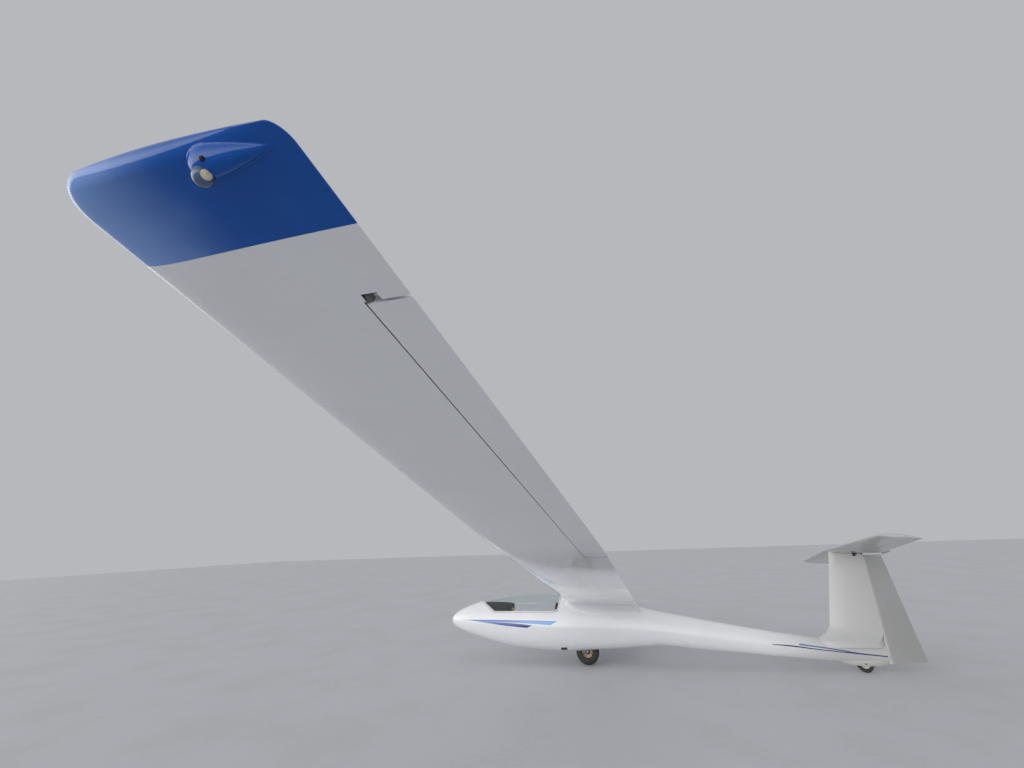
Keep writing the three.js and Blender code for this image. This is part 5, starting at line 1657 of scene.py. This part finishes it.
def grown(name, tree, paths, **values):
    """Runs a tree over paths, given as rows of points in the aircraft's frame, and keeps the result."""
    mesh = bpy.data.meshes.new(name)
    points, edges = [], []
    for path in paths:
        edges += [(len(points) + i, len(points) + i + 1) for i in range(len(path) - 1)]
        points += list(path)
    mesh.from_pydata(placed(points).tolist(), edges, [])
    made = new_object(name, mesh)
    modifier = made.modifiers.new("grown", "NODES")
    modifier.node_group = tree
    for item in tree.interface.items_tree:
        if item.in_out == "INPUT" and item.name.replace(" ", "_") in values:
            modifier[item.identifier] = values[item.name.replace(" ", "_")]
    return smooth(plain_mesh(made), 40)


# %% Trees for fasteners and stitches
fasteners, given, out = nodes_tree("fasteners", [
    ("Direction", "Vector"), ("Corners", "Int"), ("Radius", "Float"), ("Height", "Float")])
turn_to = add(fasteners, "FunctionNodeAlignRotationToVector",
              {"Vector": given["Direction"]}, axis="Z").outputs[0]
head = add(fasteners, "GeometryNodeMeshCone", {
    "Vertices": given["Corners"], "Radius Top": times(fasteners, given["Radius"], 0.85),
    "Radius Bottom": given["Radius"], "Depth": given["Height"]}).outputs[0]
washer = add(fasteners, "GeometryNodeMeshCone", {
    "Vertices": 20, "Radius Top": times(fasteners, given["Radius"], 1.3),
    "Radius Bottom": times(fasteners, given["Radius"], 1.35),
    "Depth": times(fasteners, given["Height"], 0.25)}).outputs[0]
both = add(fasteners, "GeometryNodeJoinGeometry")
for part in (washer, head):
    fasteners.links.new(part, both.inputs[0])
heads = add(fasteners, "GeometryNodeInstanceOnPoints", {
    "Points": given["Geometry"], "Instance": both.outputs[0], "Rotation": turn_to}).outputs[0]
ending(fasteners, given, out, heads)

stitches, given, out = nodes_tree("stitches", [
    ("Spacing", "Float"), ("Length", "Float"), ("Thickness", "Float")])
path = add(stitches, "GeometryNodeMeshToCurve", {0: given["Geometry"]}).outputs[0]
row = add(stitches, "GeometryNodeCurveToPoints", {"Curve": path, "Length": given["Spacing"]}, mode="LENGTH")
turn_to = add(stitches, "FunctionNodeAlignRotationToVector",
              {"Vector": row.outputs["Tangent"]}, axis="X").outputs[0]
seed = add(stitches, "GeometryNodeMeshUVSphere", {"Segments": 8, "Rings": 5, "Radius": 0.5}).outputs[0]
size = add(stitches, "ShaderNodeCombineXYZ",
           {0: given["Length"], 1: given["Thickness"], 2: given["Thickness"]}).outputs[0]
thread = add(stitches, "GeometryNodeTransform", {"Geometry": seed, "Scale": size}).outputs[0]
ending(stitches, given, out, add(stitches, "GeometryNodeInstanceOnPoints", {
    "Points": row.outputs["Points"], "Instance": thread, "Rotation": turn_to}).outputs[0])

# %% Bolts and stitches


def facing(x, y, z):
    return tuple(TURN @ vec(x, y, z))


ring = [(MAIN_WHEEL.x + HOLE_RING * math.cos(a), MAIN_WHEEL.z + HOLE_RING * math.sin(a))
        for a in np.radians(np.arange(30, 390, 60))]
wheel_bolts = joined("rim_bolts", [
    grown("bolts", fasteners, [[(x, side * 0.0135, z) for x, z in ring]], Direction=facing(0, side, 0),
          Corners=6, Radius=0.0055, Height=0.005, Material=steel) for side in (-1, 1)])
corners = [(panel_back - 0.0003, y + dy * radius * 0.86, z + dz * radius * 0.86)
           for y, z, radius in DIALS for dy in (-1, 1) for dz in (-1, 1)]
panel_screws = grown("panel_screws", fasteners, [corners], Direction=facing(1, 0, 0), Corners=16,
                     Radius=0.0022, Height=0.0014, Material=steel)

# Stitches run this far off the middle of a strap, over these shares of its length
STITCH_HALF, STITCHED = 0.017, ((0.10, 0.24), (0.80, 0.93))
rows, lift = [], vec(-0.5, 0, 0.85) * STRAP_THICK * 0.55
for line in map(shoulder_line, (-1, 1)):
    for ends in STITCHED:
        first, last = (int(share * (STRAP_STEPS - 1)) for share in ends)
        rows += [line[first:last] + lift + vec(0, off, 0) for off in (-STITCH_HALF, STITCH_HALF)]
        rows += [[line[i] + lift + vec(0, off, 0) for off in np.linspace(-STITCH_HALF, STITCH_HALF, 5)]
                 for i in (first, last - 1)]
harness_stitches = grown("harness_stitches", stitches, rows, Spacing=0.0042, Length=0.0030, Thickness=0.0008,
                         Material=thread_white)
print("bolts", len(wheel_bolts.data.polygons), "stitches", len(harness_stitches.data.polygons))

# %% [markdown]
# A few small things finish the outside: drain holes under the wings, the bolt that carries the tail
# wheel, the slot beside the rudder and the dark fittings where the tailplane sits on the fin. The drain
# holes, the slot and the hole in each blister are dark discs, plates and balls: painted shade for a hole.

# %% Small details
FITTING_TOP, SKID_HOLE = 1.503, {"across": 0.016, "fraction": FOOT["fraction"] + 0.034, "radius": 0.0042}


def both_sides(name, build):
    """One mesh from what a function builds on each side, -1 for the left and 1 for the right."""
    return joined(name, [piece for side in (-1, 1) for piece in build(side)])


def flush(name, x0, x1, half, sunk, out, z0, z1, side, soft):
    """A small plate that is let into a side of the aircraft and stands out a little."""
    y0, y1 = sorted((side * (half - sunk), side * (half + out)))
    return softened(block(name, x0, x1, y0, y1, z0, z1), soft, 2)


# Each drain hole is a thin dark disc on the lower face: painted shade.
def drains(side):
    profile = [(TINY, -0.0006), (0.0045, -0.0006), (0.0045, 0.00024), (0.003825, 0.0006), (TINY, 0.0006)]
    places = [face_point(wing_section(y), s, -1) for y, s in ((3.89, 0.375), (3.97, 0.52))]
    return [turned("drain", profile, (x, side * y, z), "z", 28) for x, y, z in places]


def tail_bolt(side):
    x, _, z = tail_axle
    half, middle = fairing_at(x)
    half *= math.sqrt(max(0.0, 1 - ((z - middle) / (FAIRING_TOP - middle)) ** 2))
    return [grown("bolt", fasteners, [[(x, side * (max(half, skin_half(x, z)) - 0.0015), z)]],
                  Direction=facing(0, side, 0), Corners=6, Radius=0.009, Height=0.007, Material=steel_dark)]


# The slot is a thin dark plate on the skin: painted shade.
def boom_slot(side):
    return [flush("slot", 6.166, 6.206, skin_half(6.186, 0.314), 0.004, 0.0006, 0.3115, 0.3165, side, 0.0006)]


# The tailplane's dark fittings show at the top of the fin: where each begins, ends and how low it reaches
FITTINGS = (6.262, 6.298, 1.440), (6.298, 6.326, 1.462), (6.340, 6.372, 1.474), (6.376, 6.400, 1.466)


def fittings(side):
    made = []
    for x0, x1, low in FITTINGS:
        section = fin_section((low + FITTING_TOP) / 2)
        fraction = ((x0 + x1) / 2 - section["edge"][0]) / section["chord"]
        half = float(face_point(section, fraction, 1)[1])
        made.append(flush("fitting", x0, x1, half, 0.006, 0.0035, low, FITTING_TOP, side, 0.0025))
    return made


# A small dark ball in each tip's blister stands for a hole there: painted shade
def skid_hole(side):
    drop = SKID["deep"] * math.sqrt(1 - (SKID_HOLE["across"] / SKID["half"]) ** 2)
    section = wing_section(SKID["y"] + SKID_HOLE["across"])
    x, y, z = face_point(section, SKID_HOLE["fraction"], -1) - vec(0, 0, drop)
    return [turned("hole", ball(SKID_HOLE["radius"], 13), (x, side * y, z), "z", 28)]


drain_holes, tail_bolts = both_sides("drain_holes", drains), both_sides("tail_axle_bolts", tail_bolt)
boom_slots, fin_fittings = both_sides("boom_slots", boom_slot), both_sides("fin_fittings", fittings)
skid_holes = both_sides("skid_holes", skid_hole)
print("details ready")

# %% [markdown]
# Every finished piece gets its material, rides on the body that carries it and hides the frame's node
# that it replaces. The parts that stay as they are get a fine bevel, because no real edge is perfectly
# sharp, and light catches on it.

# %% Dress and attach the pieces


def attach(made, finish, body_name, slot, *replaced):
    for paint in finish if isinstance(finish, (list, tuple)) else [finish]:
        if paint and paint.name not in made.data.materials:
            made.data.materials.append(paint)
    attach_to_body(made, body_name)
    if replaced:
        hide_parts(*replaced)
    return made


LINED_DEEP = 0.012  # faces at least this far inside the skin are the cockpit's lining
for face in front_shell.data.polygons:
    x, y, z = upright(face.center)
    deep = skin_half(x, z) - abs(y) if 0.05 < x < FRONT_END - 0.01 else 0
    flat = body_top(max(x, 0)) - z if z > body_wide(max(x, 0)) else z - body_bottom(max(x, 0))
    lined, in_slot = min(deep, flat) > LINED_DEEP, abs(y) < 0.03 and x > 1.83
    face.material_index = int(0.31 < x < HOLLOW_END + 0.01 and lined and not in_slot)
    # The side slot's inner faces get the hollow's dark grey: painted shade.
    if deep > 0.002 and all(low - 0.001 < value < high + 0.001
                            for value, (low, high) in zip((x, y, z), SIDE_SLOT)):
        face.material_index = 2


def shade_hollow(made, hinge, reach_more, end_walls=False):
    """Gives the round hollow ahead of a hinge a near-black grey, partly the laminate's own colour and partly
    painted shade, which is what makes the thin line there.
    """
    ends = (INNER_END, OUTER_END, OUTER_END + POCKET["long"])
    for mirror in (1, -1):
        start, line = hinge["a"] * (1, mirror, 1), unit((hinge["b"] - hinge["a"]) * (1, mirror, 1))
        for face in made.data.polygons:
            point = upright(face.center)
            offset = point - start
            away = offset - (offset @ line) * line
            t = float(point[2] if hinge is rudder_hinge else abs(point[1]))
            if not hinge["span"][0] - 0.05 < t < hinge["span"][1] + 0.05:
                continue
            normal, far = TURN.T @ np.array(face.normal), np.linalg.norm(away)
            centre, _, _, radius = hinge_at(hinge, t)
            end_wall = end_walls and abs(normal[1]) > 0.95 and point[0] > centre[0] - 0.05
            end_wall = end_wall and min(abs(t - end) for end in ends) < 0.001
            if end_wall or far < radius + reach_more and normal @ away < 0.25 * far:
                face.material_index = 1


for side in SIDES:
    shade_hollow(wings[side], aileron_hinge, 0.022, True)
    for face in ailerons[side].data.polygons:
        face.material_index = int(abs(upright(face.center)[1]) > AILERON_TO + 0.0005)
for made, hinge in ((fin_skin, rudder_hinge), (boom, rudder_hinge), (tailplane_skin, elevator_hinge)):
    shade_hollow(made, hinge, 0.0052)

DRESS = [
    # object, finishes, the body that carries it, the finish it stands for, the node it replaces
    (front_shell, (body_gelcoat, speckled, hollow_grey), "airframe", "gelcoat", "fuselage_front"),
    (centre_section, body_gelcoat, "airframe", "gelcoat", "fuselage_centre"),
    (boom, (body_gelcoat, hollow_grey), "airframe", "gelcoat", "tail_boom"),
    (fin_skin, (body_gelcoat, hollow_grey), "airframe", "gelcoat", "fin"),
    (tailplane_skin, (tail_gelcoat_painted_shade, hollow_grey), "airframe", "gelcoat", "tailplane"),
    (rudder_skin, rudder_gelcoat_painted_shade, "rudder", "gelcoat", "rudder"),
    (elevator_skin, tail_gelcoat_painted_shade, "elevator", "gelcoat", "elevator"),
    (canopy_rim, wing_gelcoat, "canopy", "gelcoat", "canopy_frame"),
    (canopy_bubble, acrylic, "canopy", "clear_acrylic", "canopy_glass"),
    (window_rail, dial_white, "canopy", "gelcoat"),
    (main_tyre, rubber, "main_wheel", "tyre", "main_tyre"),
    (main_rim, rim_cream, "main_wheel", "rim_cream", "main_rim"),
    (wheel_bolts, steel, "main_wheel", "steel"),
    (tail_tyre, rubber, "tail_wheel", "tyre", "tail_tyre"),
    (tail_hub, hub_white, "tail_wheel", "hub_white", "tail_hub"),
    (stick_shaft, steel_dark, "airframe", "steel", "control_stick"),
    (stick_grip, grip_rubber, "airframe", "black", "control_stick"),
    (knob, knob_yellow, "airframe", "knob_yellow", "release_knob"),
    (pod_hood, crackle_black, "airframe", "black", "instrument_pod"),
    (panel_plate, panel_metal, "airframe", "steel", "instrument_panel"),
    (dial_bezels, dark_fitting, "airframe", "black"),
    (dial_faces, dial_black, "airframe", "black"),
    (dial_needles, dial_white, "airframe", "hub_white"),
    (panel_screws, steel, "airframe", "steel"),
    (headrest_pad, leather_black, "airframe", "black", "headrest"),
    (headrest_welt, leather_black, "airframe", "black"),
    (headrest_stem, steel_dark, "airframe", "steel", "headrest"),
    (webbing, webbing_cloth, "airframe", "webbing", "harness"),
    (buckle, steel, "airframe", "steel"),
    (harness_stitches, thread_white, "airframe", "webbing"),
    (tail_bolts, steel_dark, "airframe", "steel"),
    *[(made, dark_fitting, "airframe", "black")
      for made in (drain_holes, boom_slots, fin_fittings, skid_holes)]]
for side in SIDES:
    DRESS += [(wings[side], (wing_gelcoat, hollow_grey), "airframe", "gelcoat", f"wing_{side}"),
              (tips[side], tip_blue, "airframe", "tip_blue", f"wing_tip_{side}"),
              (skids[side], tip_blue, "airframe", "tip_blue", f"tip_skid_{side}"),
              (feet[side], foot_paint, "airframe", "tip_blue", f"tip_skid_{side}"),
              (ailerons[side], (wing_gelcoat, plug_grey), f"aileron_{side}", "gelcoat", f"aileron_{side}")]
for row in DRESS:
    attach(*row)
print(len(DRESS), "pieces attached")

# %% Parts that keep the frame's own shape
KEPT = {
    "seat_pan": (speckled, 0.006), "rudder_pedals": (steel_dark, 0.0015),
    "airbrake_lever": (lever_blue, 0.0015),
    "main_axle": (steel, 0.0012), "main_fork": (steel_dark, 0.0015), "tow_hook": (steel_dark, 0.0015),
    "tail_axle": (steel, 0.0008), "tailplane_pin": (steel_dark, 0.001),
    "airbrake_left": (wing_gelcoat, 0.0006),
    "airbrake_right": (wing_gelcoat, 0.0006)}
for name, (finish, width) in KEPT.items():
    made = nodes[name]
    for material_slot in made.material_slots:
        material_slot.material = finish
    for attribute in [a for a in made.data.attributes if a.name == "custom_normal"]:
        made.data.attributes.remove(attribute)
    made.data.shade_smooth()
    weld = made.modifiers.new("weld", "WELD")
    weld.merge_threshold = 1e-5
    bevelled(made, width, 3, 35).harden_normals = True
print(len(KEPT), "parts keep their shape")

# %% [markdown]
# The light is a plain soft studio: a pale floor and a sky that is brightest low on the camera's side.
# That stands for daylight from one side, which brightens the side of the body and leaves the wing's
# lower face grey. A sky that changes slowly has no edges, so polished paint shows soft reflections only.
# The bright side lights and reflects, but the backdrop itself is drawn plain.

# %% Floor and light
SKY, GLOW, GLOW_WAY = (0.47, 0.48, 0.50), (3.15, 3.12, 3.10), (-0.72, -0.69, 0.08)
floor_paint, tree, shader = material("floor_pale", Specular_IOR_Level=0.3)
spots = dirty(tree, 0.8, 0.4)
wire(tree, shader, Base_Color=blended(tree, spots, (0.61, 0.62, 0.645), (0.585, 0.59, 0.61)),
     Roughness=scaled(tree, spots, 0.05, 0.6))
floor_mesh = bpy.data.meshes.new("floor")
floor_mesh.from_pydata([(-60, -60, 0), (60, -60, 0), (60, 60, 0), (-60, 60, 0)], [], [(0, 1, 2, 3)])
floor = new_object("floor", floor_mesh)
floor.data.materials.append(floor_paint)

world = bpy.data.worlds.new("studio")
scene.world = world
scene.view_settings.view_transform = "Standard"
world.use_nodes = True
sky = world.node_tree
way = add(sky, "ShaderNodeTexCoord").outputs["Generated"]
toward = add(sky, "ShaderNodeVectorMath", {0: way, 1: Vector(GLOW_WAY).normalized()},
             operation="DOT_PRODUCT").outputs["Value"]
rise = add(sky, "ShaderNodeSeparateXYZ", {0: way}).outputs[2]
unseen = minus(sky, 1.0, add(sky, "ShaderNodeLightPath").outputs["Is Camera Ray"])
glow = times(sky, ramp(sky, toward, 0.1, 0.95), ramp(sky, rise, 0.70, 0.10), unseen)
background = sky.nodes["Background"]
link(sky, background.inputs["Color"], blended(sky, glow, SKY, GLOW))
background.inputs["Strength"].default_value = 1.0
